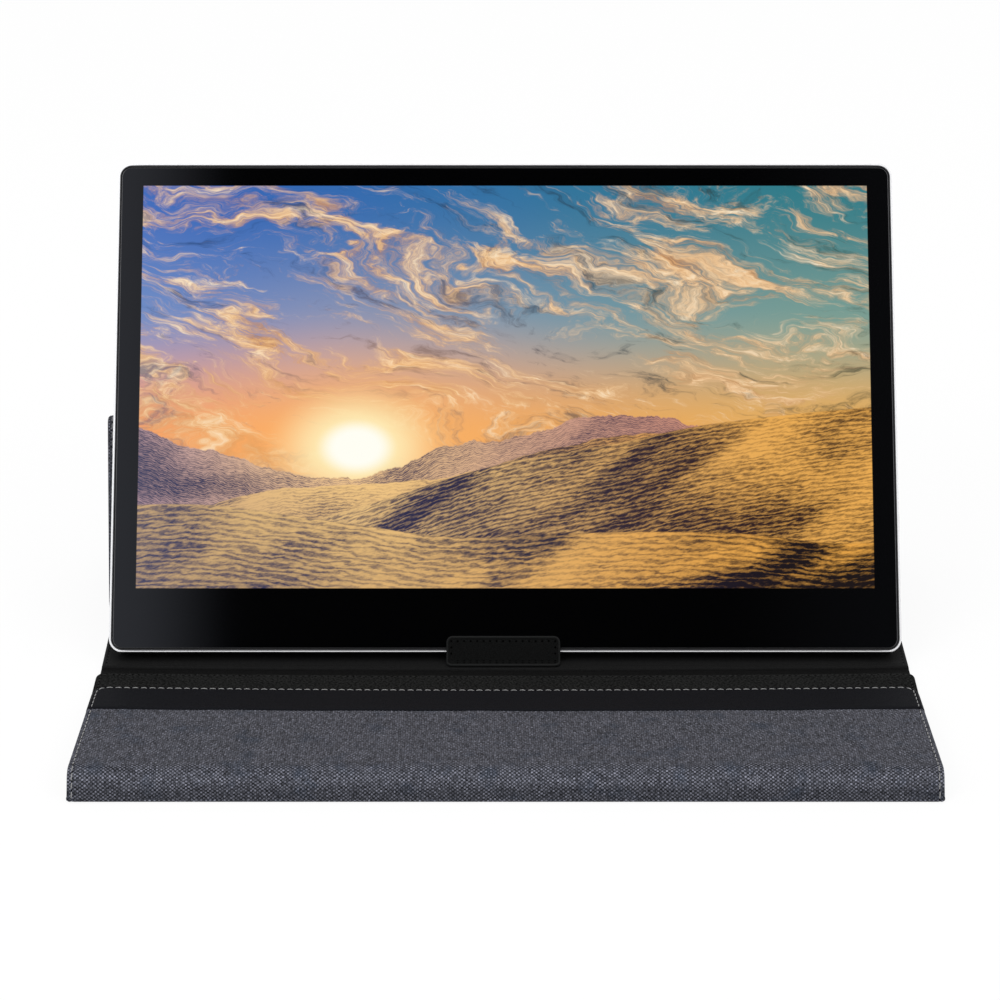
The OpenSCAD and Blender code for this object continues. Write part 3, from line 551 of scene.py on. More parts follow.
def hillLine(tree, x, base, rise, waves, seed, roughness):
    # height of a hill line at x: a slope, a slow swell and a little roughness
    line = joined(tree, plus(tree, times(tree, x, waves), seed), seed, 0.0)
    height = plus(tree, base, times(tree, x, rise))
    swell = noise(tree, line, 1.0, 1.5, 0.4).outputs[0]
    height = plus(tree, height, times(tree, minus(tree, swell, 0.5), hillLook["swell"]))
    if roughness:
        rough = noise(tree, stretched(tree, line, 9.0, 1.0), 1.0, 6, 0.6).outputs[0]
        height = plus(tree, height, times(tree, minus(tree, rough, 0.5), roughness))
    return height


def paintHill(tree, picture, x, y, away, coolShare, hill):
    # lit from the sun's side and rippled by the wind
    *shape, lit, dark, ripple = hill
    below = minus(tree, hillLine(tree, x, *shape), y)
    crest = joined(tree, plus(tree, x, times(tree, below, hillLook["bend"])), below, shape[3])
    face = noise(tree, stretched(tree, crest, *hillLook["face"]), 1.0, 3, 0.5, 0.4).outputs[0]
    ripples = put(
        tree, "ShaderNodeTexWave",
        {"Vector": stretched(tree, crest, *hillLook["ripples"]), "Scale": ripple, "Distortion": 9.0,
         "Detail": 4.0, "Detail Scale": 2.2, "Detail Roughness": 0.65},
        bands_direction="Y").outputs["Fac"]
    grit = noise(tree, stretched(tree, crest, *hillLook["grit"]), 1.0, 6, 0.75).outputs[0]
    light = plus(tree, times(tree, face, hillLook["faceLight"]), times(tree, ripples, hillLook["rippleLight"]))
    light = plus(tree, light, times(tree, minus(tree, grit, 0.5), hillLook["gritLight"]))
    light = minus(tree, light, times(tree, below, hillLook["fall"]))
    # the far left lies in cool shade
    lit = mixed(tree, coolShare, tuple(c * k for c, k in zip(lit, hillLook["coolLit"])), lit)
    dark = mixed(tree, coolShare, hillLook["coolDark"], tuple(c * hillLook["darkTone"] for c in dark))
    colour = mixed(tree, spread(tree, light, 0.62, 1.32), dark, lit)
    near = calc(tree, "POWER", spread(tree, away, 0.75, 0.05, smooth=False), 2.2)
    glow = times(tree, near, times(tree, spread(tree, light, 0.5, 1.2), hillLook["glowShare"]))
    colour = mixed(tree, glow, colour, hillLook["glow"])
    return mixed(tree, spread(tree, below, 0.0, 0.004), picture, colour)


def makeGlass():
    material, tree, shader = newMaterial("coverGlass", 0.06, specular=0.5)
    shader.inputs["Emission Strength"].default_value = screen["glow"]
    place = monitorPlace(tree, screen["bottom"], screen["front"], screen["height"])
    x, y, _ = parted(tree, place)
    half = screen["width"] / screen["height"] / 2
    # the ground edge of the glass is a grey line all round: its own grey with a painted highlight, brighter at
    # the sides
    rise = screen["height"] / 2 + screen["bottom"] - screen["glassFoot"] - screen["glass"][1] / 2
    up = plus(tree, times(tree, minus(tree, y, 0.5), screen["height"]), rise)
    edge = cornerDistance(tree, times(tree, x, screen["height"]), up, *screen["glass"])
    groundGlint = spread(tree, edge, *screen["groundGlint"], smooth=False)
    # painted highlight brighter along the sides than at the top and bottom
    beside = spread(tree, calc(tree, "ABSOLUTE", x), 0.928, 0.938, smooth=False)
    groundGlintColour = mixed(tree, beside, screen["groundGlintEnds"], screen["groundGlintSides"])
    feed(shader, "Base Color", mixed(tree, groundGlint, screen["black"], groundGlintColour))
    feed(shader, "Roughness", spread(tree, groundGlint, 0, 1, 0.06, 0.45, False))

    coolShare = spread(tree, x, -half, half)
    fromSun = vec(tree, "SUBTRACT", place, sky["sun"])
    away = vec(tree, "LENGTH", vec(tree, "MULTIPLY", fromSun, sky["flatten"]))
    picture = paintSun(tree, paintSky(tree, place, y, coolShare), away)
    for hill in hills:
        picture = paintHill(tree, picture, x, y, away, coolShare, hill)

    # only inside the lit area; the rest of the glass is printed black behind
    soft = screen["margin"]
    inX = spread(tree, calc(tree, "ABSOLUTE", x), half, half - soft, smooth=False)
    above = spread(tree, y, 0.0, soft, smooth=False)
    below = spread(tree, y, 1.0, 1.0 - soft, smooth=False)
    lit = times(tree, inX, times(tree, above, below))
    feed(shader, "Emission Color", mixed(tree, lit, (0.0, 0.0, 0.0), picture))
    return material


case = {
    # the dark colour is painted shade, for the step by the glass and for the bottom edge
    "colour": (0.9, 0.9, 0.915), "wall": (0.52, 0.525, 0.54), "inside": (0.035, 0.035, 0.038),
    "plate": (0.368, 0.234, 0.0064),        # width, height, corner radius
    "rim": 0.00078, "lowRim": 0.00058, "rimEnds": (0.172, 0.181),
    "depth": 0.0082, "face": 0.0087,
    "wallMetal": 0.8, "faceMetal": 0.2,
}


def makeCase():
    # blasted silver, with painted shade in the step between the rim and the glass and along the bottom edge
    material, tree, shader = newMaterial("blastedSilver", 0.34, 0.9)
    x, up, out = parted(tree, monitorPlace(tree))
    edge = cornerDistance(tree, x, minus(tree, up, case["plate"][1] / 2), *case["plate"])
    face = spread(tree, out, case["face"] - 0.0001, case["face"], smooth=False)
    # the painted shade in the step is wider between the corners, so the rim looks narrower there than at the
    # sides
    rim = spread(tree, calc(tree, "ABSOLUTE", x), *case["rimEnds"], case["lowRim"], case["rim"])
    within = spread(tree, plus(tree, edge, rim), 0.0, -0.0001, smooth=False)
    step = times(tree, within, calc(tree, "GREATER_THAN", out, case["depth"]))
    # painted shade along the bottom edge of the case, where it faces the lining
    under = spread(tree, up, 0.0003, 0.0001, smooth=False)
    dark = calc(tree, "MAXIMUM", step, under)
    speck = useGroup(tree, speckGroup, {"Vector": objectPlace(tree), "Scale": 5200.0})
    fine, slow = speck.outputs["Fine"], speck.outputs["Slow"]
    silver = mixed(tree, face, case["wall"], case["colour"])
    silver = scaled(tree, silver, spread(tree, fine, 0.35, 0.65, 0.94, 1.0))
    feed(shader, "Base Color", mixed(tree, dark, silver, case["inside"]))
    feed(shader, "Metallic", spread(tree, face, 0, 1, case["wallMetal"], case["faceMetal"], False))
    feed(shader, "Roughness", spread(tree, slow, 0.3, 0.7, 0.33, 0.43, False))
    bumped(tree, shader, fine, 0.2, 0.00003)
    return material


# finishes for the CAD nodes

canvasMaterial = makeCanvas()
bandMaterial = makeLeather("bandLeather", (0.0080, 0.0085, 0.0108), 0.55, 2600.0, 0.1, 0.03)
tabMaterial = makeLeather(
    "tabLeather", (0.0066, 0.0068, 0.0068), 0.6, 1500.0, 0.9, 0.02, plate=(0.0528, 0.0165, 0.003))
liningMaterial = makeLeather("smoothLining", (0.0072, 0.0072, 0.0073), 0.65, 2300.0, 0.15, 0.08)
napMaterial = makeNap("microfibreNap", (0.0040, 0.0041, 0.0041), (0.0205, 0.0210, 0.0208), 0.7)
creaseMaterial = makeLeather("creaseLining", (0.0045, 0.0045, 0.0046), 0.7, 2000.0, 0.3, 0.06)
greyThread = makeThread("greyThread", (0.20, 0.20, 0.20), (0.44, 0.44, 0.44))
blackThread = makeThread("blackThread", (0.003, 0.003, 0.003), (0.012, 0.012, 0.012))
# dark discs of painted shade in the needle holes
holeShadeMaterial = makeSpecked("stitchHoleShade", (0.0005, 0.0005, 0.0005), 0.9, specular=0.0, bump=0)
glassMaterial = makeGlass()

slotFinish = {
    "bead_black": makeSpecked("adhesiveBead", (0.006, 0.006, 0.006), 0.55, specular=0.3),
    "case_silver": makeCase(),
    "cell_dark": makeSpecked("displayCell", (0.03, 0.045, 0.09), 0.1, scale=400.0),
    "guide_clear": makeSpecked("lightGuide", (0.8, 0.84, 0.88), 0.15, scale=900.0, contrast=0.04),
    "tray_steel": makeSpecked("pressedTray", (0.55, 0.57, 0.6), 0.35, 1.0, 1200.0, 0.05, 0.08),
    "foam": makeSpecked("openFoam", (0.05, 0.05, 0.05), 0.95, scale=2500.0, contrast=0.5, bump=0.8),
    "board_green": makeSpecked("solderMask", (0.015, 0.13, 0.055), 0.35, scale=700.0, contrast=0.25),
    "ribbon_amber": makeSpecked("amberFilm", (0.42, 0.2, 0.03), 0.3, scale=600.0),
    "plated_metal": makeSpecked("platedSheet", (0.62, 0.63, 0.65), 0.25, 1.0, 2400.0, 0.1, 0.06),
    "socket_black": makeSpecked("socketMoulding", (0.012, 0.012, 0.012), 0.45, scale=2500.0),
    "speaker_black": makeSpecked("speakerMoulding", (0.02, 0.02, 0.02), 0.6, scale=2500.0, contrast=0.3),
    "screw_steel": makeSpecked("zincScrew", (0.45, 0.46, 0.48), 0.35, 1.0, 4000.0, 1.0, 0.15),
    "button_silver": makeSpecked("satinCap", (0.78, 0.785, 0.8), 0.3, 0.6, 4200.0, 1.0, 0.03, 0.1),
    "grey_board": makeSpecked("fibreBoard", (0.42, 0.33, 0.2), 0.9, scale=1500.0, contrast=0.3, bump=0.6),
    "magnet_metal": makeSpecked("nickelPlate", (0.5, 0.5, 0.5), 0.3, 1.0, 2200.0, 0.2, 0.08),
}
slotFinish.update(
    glass_black=glassMaterial, canvas_grey=canvasMaterial, leather_black=tabMaterial,
    microfibre_black=napMaterial, lining_black=liningMaterial)

for part in frame["record"]["subparts"]:
    mesh = nodes[part["node"]].data
    mesh.materials.clear()
    mesh.materials.append(slotFinish[part["material_slot"]])
print("finishes made:", len(bpy.data.materials))

# paths of the cover

cover = {
    "half": 132.393,                # half of the object's depth, mm
    "width": 376.8, "tipWidth": 374.4, "rearWidth": 373.8, "propWidth": 372.8,
    "shift": -1.0, "propShift": (-0.9, -2.1),
    "leaf": 3.0,                    # thickness of a leaf
    "edge": 1.5,                    # radius round the edge of a leaf
    "flapLen": 85.0637, "flapHeading": 175.47789, "turn": 69.8221, "shoulder": 6.5,
    "spineLen": 10.1637, "spineAngle": 65.3, "corner": (6.14265, 13.3551),
    "baseEnd": 113.6, "rearStart": 119.2, "rearBend": 257.2,
    "bendRadius": 0.45, "lead": 0.6,            # lead: cloth before and after a sharp bend
    "rearLegAngle": 119.766, "rearLegLen": 107.415, "foldRadius": 4.0,
    "frontLegAngle": -108.063, "frontLegLen": 93.0,
    "freeCorner": 7.5, "creaseCorner": 4.5,
}


def unit(angle):
    return np.array([math.cos(math.radians(angle)), math.sin(math.radians(angle))])


def makePath(start, heading, moves):
    # moves are (length, turn); a turn in degrees makes the length an arc
    parts, place, angle, gone = [], np.array(start, float), heading, 0.0
    for length, turn in moves:
        parts.append((gone, length, place.copy(), angle, turn))
        if turn:
            radius = length / math.radians(turn)
            centre = place + radius * unit(angle + 90)
            place = centre - radius * unit(angle + turn + 90)
        else:
            place = place + length * unit(angle)
        angle += turn
        gone += length
    return {"parts": parts, "length": gone}


def onPath(path, s):
    # place, heading and the normal towards the lining at distance s
    for gone, length, place, angle, turn in reversed(path["parts"]):
        if s >= gone or gone == 0:
            break
    if not turn:
        return place + (s - gone) * unit(angle), unit(angle), unit(angle + 90)
    radius = length / math.radians(turn)
    now = angle + turn * (s - gone) / length
    centre = place + radius * unit(angle + 90)
    return centre - radius * unit(now + 90), unit(now), unit(now + 90)


def arcs(path):
    return [(gone, gone + length, turn) for gone, length, _, _, turn in path["parts"] if turn]


def arc(radius, turn):
    return (radius * math.radians(turn), turn)


def tangent(radius, turn):
    return radius * math.tan(math.radians(turn / 2))


lead = cover["lead"]
frontTurn = 180 - cover["spineAngle"]
frontTangent = tangent(cover["bendRadius"], frontTurn)
rearTangent = tangent(cover["bendRadius"], cover["rearLegAngle"])
tipReach = cover["flapLen"] + tangent(cover["shoulder"], cover["turn"])
tip = np.array(cover["corner"]) + tipReach * unit(cover["flapHeading"] + 180)
flapPath = makePath(tip, cover["flapHeading"], [
    (cover["flapLen"], 0), arc(cover["shoulder"], cover["turn"]), (cover["spineLen"] - frontTangent, 0),
])
frontPath = makePath((frontTangent + lead) * unit(cover["spineAngle"]), 180 + cover["spineAngle"], [
    (lead, 0), arc(cover["bendRadius"], frontTurn), (cover["baseEnd"] - frontTangent, 0),
])
rearPath = makePath((cover["rearStart"], 0), 0, [
    (cover["rearBend"] - rearTangent - cover["rearStart"], 0),
    arc(cover["bendRadius"], cover["rearLegAngle"]), (lead, 0),
])
propStart = np.array((cover["rearBend"], 0)) + (rearTangent + lead) * unit(cover["rearLegAngle"])
propPath = makePath(propStart, cover["rearLegAngle"], [
    (cover["rearLegLen"] - rearTangent - lead, 0),
    arc(cover["foldRadius"], 360 + cover["frontLegAngle"] - cover["rearLegAngle"]),
    (cover["frontLegLen"], 0),
])

# sheets


def toFrame(x, place):
    return (x / 1000, (place[0] - cover["half"]) / 1000, place[1] / 1000)


rng = np.random.default_rng(11)
swellWaves = [
    (rng.uniform(0.03, 0.12), rng.uniform(0.03, 0.12), rng.uniform(0, 6.28), rng.uniform(-1, 1))
    for _ in range(7)
]


def swell(x, s, seed):
    # slow unevenness of cloth over board, about -1 to 1
    total = 0.0
    for fx, fs, phase, side in swellWaves:
        total = total + np.sin(fx * x + side * fs * s + phase + seed)
    return total / 3.2


bowHalf = 188       # where a bowed edge reaches its side value


def bowed(bow, x, s):
    # how far a crossing edge is drawn along the sheet; bow is (reach in the middle,
    # reach at the sides, place of the edge, length over which it fades)
    if not bow:
        return 0.0
    middle, sides, at, fade = bow
    share = min(1.0, (x / bowHalf) ** 2)
    return (middle + (sides - middle) * share) * max(0.0, 1 - abs(s - at) / fade)


# rows and columns stand closer towards a rounded edge; distances from the edge in mm
edgeSteps = [0, 0.06, 0.18, 0.36, 0.62, 0.95, 1.3, 1.6, 1.85, 2.05, 2.25, 2.45, 2.65, 2.9, 3.3, 4, 6, 9]


def rowsFor(path, s0, s1, closed, spacing):
    rows = {round(s0, 4), round(s1, 4)}
    for place, sign, shut in ((s0, 1, closed[0]), (s1, -1, closed[1])):
        if shut:
            rows.update(round(place + sign * step, 4) for step in edgeSteps)
    for a, b, turn in arcs(path):
        count = max(6, int(turn / 5))
        rows.update(round(v, 4) for v in np.linspace(a, b, count) if s0 < v < s1)
        rows.update(round(v, 4) for v in (a - 1.0, b + 1.0) if s0 < v < s1)
    rows = sorted(v for v in rows if s0 - 1e-3 <= v <= s1 + 1e-3)
    full = [rows[0]]
    for v in rows[1:]:
        gap = v - full[-1]
        if gap > spacing * 1.5:
            full.extend(np.linspace(full[-1], v, int(math.ceil(gap / spacing)) + 1)[1:-1])
        full.append(v)
    return np.array(full)


seam = 2.25                     # stitches' distance from an edge, mm
endless = 1e6                   # stands for an end that isn't rounded or a bow that doesn't fade
sheetLook = {
    "grooveWidth": 0.42, "grooveFrom": 0.5,     # stitched groove along the edge
    "swayFrom": 3, "swayOver": 14,              # where unevenness begins and how soon it is full
    "lipRows": (0.12, 0.22, 0.26),              # cut end turned down to the sheet below
}


def finishMesh(name, points, faces, places, materials):
    mesh = bpy.data.meshes.new(name)
    mesh.from_pydata(points, [], faces)
    layer = mesh.uv_layers.new(name="clothMap")
    for loop in mesh.loops:
        layer.data[loop.index].uv = places[loop.vertex_index]
    mesh.polygons.foreach_set("use_smooth", [True] * len(mesh.polygons))
    for material in materials:
        mesh.materials.append(material)
    return mesh


def rowAcross(full, ends, columns):
    # places across one row, and how far each lies within the sheet's outline;
    # ends are (corner radius, distance to that end)
    cut = 0.0
    for radius, gap in ends:
        if gap < radius:
            cut = radius - math.sqrt(max(0.0, radius * radius - (radius - gap) ** 2))
    reach, inEdge = full - cut, np.array(edgeSteps[:-1])
    middle = np.linspace(edgeSteps[-1] - reach, reach - edgeSteps[-1], columns)
    x = np.concatenate([inEdge - reach, middle, (reach - inEdge)[::-1]])
    deep = full - np.abs(x)
    inset = np.minimum(deep, min(gap for _, gap in ends))
    for radius, gap in ends:
        if radius and gap < radius:
            rounded = radius - np.sqrt((radius - gap) ** 2 + (radius - deep) ** 2)
            inset = np.where(deep < radius, rounded, inset)
    return x, np.maximum(inset, 0)


def makeSheet(name, material, path, span, widths, corners=(0, 0), closed=(False, False),
              face="outer", thickness=cover["leaf"], lift=0.0, shift=(0.0, 0.0), stitch=seam,
              groove=0.14, sway=0.16, seed=0.0, spacing=5.0, edge=cover["edge"], lip=0.0, step=5.0,
              bow=None, paintedLight=None):
    # One sheet of a leaf: flat in the middle and rounded down at its edges.
    # face outer lies on the path, inner lies a leaf's thickness within it.
    s0, s1 = span
    rows = rowsFor(path, s0, s1, closed, spacing)
    if lip:
        rows = np.concatenate([rows, [s1 + row for row in sheetLook["lipRows"]]])
    points, places = [], []
    bend = edge + lift
    columns = int(2 * (cover["width"] / 2 - edgeSteps[-1]) / step) | 1
    count = columns + 2 * len(edgeSteps[:-1])
    for s in rows:
        share = min(1.0, (s - s0) / (s1 - s0))
        full = (widths[0] + (widths[1] - widths[0]) * share) / 2
        gaps = s - s0 if closed[0] else endless, s1 - s if closed[1] else endless
        ends = list(zip(corners, gaps))
        x, inset = rowAcross(full, ends, columns)
        drop = 0 * inset
        if edge:
            drop = bend - np.sqrt(np.maximum(0.0, bend ** 2 - np.maximum(0.0, bend - inset) ** 2))
        fade = np.clip((inset - sheetLook["swayFrom"]) / sheetLook["swayOver"], 0, 1)
        line = np.exp(-((inset - stitch) / sheetLook["grooveWidth"]) ** 2)
        drop = drop + groove * line * (inset > sheetLook["grooveFrom"])
        drop = drop - sway * swell(x, s, seed) * fade - lift
        if lip and s > s1:
            drop = drop + lip * min(1.0, (s - s1) / sheetLook["lipRows"][1])
        if face == "inner":
            drop = thickness - drop
        place, along, normal = onPath(path, min(s, path["length"]))
        offset = shift[0] + (shift[1] - shift[0]) * share
        for xi, di in zip(x, drop):
            points.append(toFrame(xi + offset, place + bowed(bow, xi, s) * along + di * normal))
            places.append((xi / 1000, s / 1000))
    faces = []
    for i in range(len(rows) - 1):
        for a in range(i * count, (i + 1) * count - 1):
            quad = (a, a + 1, a + count + 1, a + count)
            faces.append(quad if face == "inner" else quad[::-1])
    mesh = finishMesh(name, points, faces, places, [material])
    # painted highlight and painted shade, one level for each row of the sheet
    if paintedLight:
        tones = np.interp(rows, *zip(*paintedLight))
        mesh.attributes.new("paintedLight", "FLOAT", "POINT").data.foreach_set("value", np.repeat(tones, count))
    mesh.update()
    return addObject(name, mesh)


def bendPoints(path, index=0):
    # where the cloth leaves one leaf and where it reaches the next
    a, b, _ = arcs(path)[index]
    return toFrame(0, onPath(path, a)[0]), toFrame(0, onPath(path, b)[0])


# stitches

stitchLook = {
    "pitch": 3.87, "length": 3.2, "radius": 0.22, "rise": 0.22, "slant": 4.0, "hole": 0.36,
    "dip": 0.16, "sink": 0.06, "taper": 0.45, "holeRise": 0.035,
    "rings": 7, "sides": 6, "holeSides": 8,
}
darkLook = dict(stitchLook, pitch=2.9, length=2.0, radius=0.16, rise=0.05, slant=0.0, hole=0.34)
tabHoles = dict(stitchLook, pitch=2.9, length=1.9, radius=0, rise=0.0, slant=0.0, hole=0.46)


def followLine(line, pitch):
    # even places along a line of (across, along) points, with the direction there
    line = np.array(line, float)
    steps = np.linalg.norm(np.diff(line, axis=0), axis=1)
    gone = np.concatenate([[0], np.cumsum(steps)])
    count = int(gone[-1] // pitch)
    at = (np.arange(count) + 0.5) * gone[-1] / count
    x, s = np.interp(at, gone, line[:, 0]), np.interp(at, gone, line[:, 1])
    ahead = np.interp(at + 0.5, gone, line[:, 0]) - np.interp(at - 0.5, gone, line[:, 0])
    up = np.interp(at + 0.5, gone, line[:, 1]) - np.interp(at - 0.5, gone, line[:, 1])
    return list(zip(x, s, np.degrees(np.arctan2(up, ahead))))


def makeStitches(name, path, lines, thread, depth=0.0, outward=-1, shift=0.0,
                 look=stitchLook, seed=1, bow=None):
    # a look with radius 0 has needle holes alone, as discs of painted shade
    random = np.random.default_rng(seed)
    points, faces, kinds, places = [], [], [], []
    sides = look["sides"]
    rings = look["rings"] if look["radius"] else 0
    for line in lines:
        for x, s, angle in followLine(line, look["pitch"]):
            place, along, normal = onPath(path, min(max(s, 0), path["length"]))
            normal3 = np.array([0, *normal]) * outward
            along3 = np.array([0, *along])
            across3 = np.array([1.0, 0, 0])
            turned = math.radians(angle + random.uniform(-1, 1) * 2 + look["slant"])
            forward = across3 * math.cos(turned) + along3 * math.sin(turned)
            sideways = -across3 * math.sin(turned) + along3 * math.cos(turned)
            middle = np.array(toFrame(x + shift, place + bowed(bow, x, s) * along + depth * normal)) * 1000
            reach = look["length"] * random.uniform(0.93, 1.05) / 2
            base = len(points)
            for k in range(rings):
                t = 2 * k / (rings - 1) - 1
                rise = look["rise"] * (1 - t * t) - look["dip"] * t * t - look["sink"]
                radius = look["radius"] * (1 - look["taper"] * t ** 4)
                for m in range(sides):
                    a = 2 * math.pi * m / sides
                    p = middle + forward * t * reach + sideways * radius * math.cos(a)
                    points.append(tuple((p + normal3 * (rise + 0.8 * radius * math.sin(a))) / 1000))
                    places.append(((x + t * reach) / 1000, (s + radius * m) / 1000))
            for k in range(rings - 1):
                for m in range(sides):
                    a, b = base + k * sides + m, base + k * sides + (m + 1) % sides
                    faces.append((a, b, b + sides, a + sides))
                    kinds.append(0)
            # painted shade of the needle hole past each end: a dark disc
            hub, corners = len(points), look["holeSides"]
            hole = middle + forward * look["pitch"] / 2 + normal3 * look["holeRise"]
            for m in range(corners):
                a = 2 * math.pi * m / corners
                round3 = forward * math.cos(a) + sideways * math.sin(a)
                points.append(tuple((hole + look["hole"] * round3) / 1000))
                places.append((x / 1000, s / 1000))
            faces.append(tuple(range(hub, hub + corners)))
            kinds.append(1)
    mesh = finishMesh(name, points, faces, places, [thread, holeShadeMaterial])
    mesh.polygons.foreach_set("material_index", kinds)
    mesh.update()
    return addObject(name, mesh)


def cornerLine(x, s, radius, fromAngle, toAngle, count=8):
    return [(x + radius * math.cos(math.radians(a)), s + radius * math.sin(math.radians(a)))
            for a in np.linspace(fromAngle, toAngle, count)]


# the cover's pieces

sunk = 0.08                     # how deep stitches lie in the cloth, mm
free, inner = cover["freeCorner"], cover["creaseCorner"]
widthNames = ("width", "tipWidth", "rearWidth", "propWidth")
half, tipHalf, rearHalf, propHalf = (cover[name] / 2 for name in widthNames)
flapTotal, frontTotal = flapPath["length"], frontPath["length"]
rearTotal, propTotal = rearPath["length"], propPath["length"]
overFlap = ("flap", "front_spine", *bendPoints(flapPath))
overFront = ("front_spine", "front_base", *bendPoints(frontPath))
overRear = ("base", "rear_leg", *bendPoints(rearPath))
overProp = ("rear_leg", "front_leg", *bendPoints(propPath))
# reach in the middle, reach at the sides, place of the edge, fade
bows = {
    "flap": (3.6, 0.0, 0.0, 85.0),
    "front": (-0.4, 2.4, frontTotal, 60.0),
    "crease": (-0.4, 2.2, 0.0, endless),
    "rear": (-0.4, 2.0, 0.0, 60.0),
}


def dress(piece, onto, spare=()):
    # onto is the body that a piece rides, or the bodies and points that it would be blended between; such a
    # piece is only fixed where it stands
    if spare:
        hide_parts(*spare)
    if isinstance(onto, str):
        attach(piece, onto)
    else:
        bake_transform(piece)
    return piece


flapWidths = (cover["tipWidth"], cover["width"])
flapCanvas = makeSheet(
    "flapCanvas", canvasMaterial, flapPath, (0, flapTotal), flapWidths,
    corners=(free, 0), closed=(True, False), bow=bows["flap"],
    # painted highlight over the shoulder's roll and painted shade on the front face below it
    paintedLight=[(60, 0), (86, 0.02), (90, 0.22), (93.5, 0.42), (96, 0.16), (98.5, -0.2), (102, -0.24)])
flapLining = makeSheet(
    "flapLining", napMaterial, flapPath, (0, flapTotal - 1.7), flapWidths,
    corners=(free, 0), closed=(True, True), face="inner", seed=2.0, bow=bows["flap"])
dress(flapCanvas, overFlap, ("flap_canvas", "front_spine_canvas", "shoulder_crease"))
dress(flapLining, overFlap, ("flap_lining", "front_spine_lining"))

band = {"reach": 25.8, "lift": 0.45, "lip": 0.6, "over": 0.3}
bandWidth = cover["tipWidth"] + band["over"]
bandGrowth = (cover["width"] - cover["tipWidth"]) * band["reach"] / flapTotal
leatherBand = makeSheet(
    "leatherBand", bandMaterial, flapPath, (0, band["reach"]), (bandWidth, bandWidth + bandGrowth),
    corners=(free, 0), closed=(True, False), lift=band["lift"], lip=band["lip"], spacing=3.0,
    groove=0.2, sway=0.16, bow=bows["flap"])
dress(leatherBand, "flap", ("leather_band",))


def sideLine(s0, s1, sign):
    # along one side of the flap, which is narrower at its tip
    growth = (flapWidths[1] - flapWidths[0]) / flapTotal
    return [(sign * ((flapWidths[0] + growth * s) / 2 - seam), s) for s in np.linspace(s0, s1, 40)]


def roundEnd(reach, corner, start, total, count):
    # up one side, round both corners of the far end and down the other side
    return (
        [(-(reach - seam), s) for s in np.linspace(start, total - corner, count)]
        + cornerLine(-(reach - corner), total - corner, corner - seam, 180, 90)
        + cornerLine(reach - corner, total - corner, corner - seam, 90, 0)
        + [(reach - seam, s) for s in np.linspace(total - corner, start, count)]
    )


edgeLine = (
    sideLine(flapTotal - 0.5, free, -1)
    + cornerLine(-(tipHalf - free), free, free - seam, 180, 270)
    + cornerLine(tipHalf - free, free, free - seam, 270, 360)
    + sideLine(free, flapTotal - 0.5, 1)
)
bandEnd = band["reach"] + 0.3
bandLine = [p for p in edgeLine if p[1] < bandEnd]
leftLine = [p for p in edgeLine if p[1] >= bandEnd and p[0] < 0]
rightLine = [p for p in edgeLine if p[1] >= bandEnd and p[0] > 0]
bandStitches = makeStitches(
    "bandStitches", flapPath, [bandLine], greyThread, depth=0.12 - band["lift"], bow=bows["flap"])
dress(bandStitches, "flap")
flapStitches = makeStitches(
    "flapStitches", flapPath, [leftLine, rightLine], greyThread, depth=sunk, seed=2, bow=bows["flap"])
dress(flapStitches, overFlap)

frontBaseCanvas = makeSheet(
    "frontBaseCanvas", canvasMaterial, frontPath, (0, frontTotal), (cover["width"],) * 2,
    corners=(0, inner), closed=(False, True), seed=4.0, sway=0.0, bow=bows["front"])
dress(frontBaseCanvas, overFront, ("front_base_canvas", "front_crease"))
liningStart = frontTotal - (cover["baseEnd"] - 3.6)
frontBaseLining = makeSheet(
    "frontBaseLining", napMaterial, frontPath, (liningStart, frontTotal), (cover["width"],) * 2,
    corners=(0, inner), closed=(True, True), face="inner", seed=5.0, sway=0.1, bow=bows["front"])
dress(frontBaseLining, "front_base", ("front_base_lining",))
baseLine = roundEnd(half, inner, liningStart + 2, frontTotal, 20)
frontBaseStitches = makeStitches(
    "frontBaseStitches", frontPath, [baseLine], blackThread,
    depth=cover["leaf"] - sunk, outward=1, seed=3, look=darkLook, bow=bows["front"])
dress(frontBaseStitches, "front_base")

# crease between the two base leaves, seen from above and from below
crease = {"under": 2.4, "top": 1.75, "bottom": 0.12, "hinge": 0.4}
creaseFrom, creaseTo = cover["baseEnd"] - crease["under"], cover["rearStart"] + crease["under"]
creaseReach = creaseTo - creaseFrom
creaseLook = dict(groove=0.0, edge=0.5, spacing=0.6, bow=bows["crease"])
baseCrease = makeSheet(
    "baseCrease", creaseMaterial, makePath((creaseFrom, crease["top"]), 0, [(creaseReach, 0)]),
    (0, creaseReach), (cover["rearWidth"],) * 2, face="inner", thickness=0.0, sway=0.05, **creaseLook)
creaseUnder = makeSheet(
    "creaseUnder", canvasMaterial, makePath((creaseFrom, crease["bottom"]), 0, [(creaseReach, 0)]),
    (0, creaseReach), (cover["rearWidth"],) * 2, sway=0.0, **creaseLook)
overBases = (
    "front_base", "base",
    toFrame(0, (cover["baseEnd"] + crease["hinge"], 0)),
    toFrame(0, (cover["rearStart"] - crease["hinge"], 0)))
dress(baseCrease, overBases, spare=("base_crease",))
dress(creaseUnder, overBases)

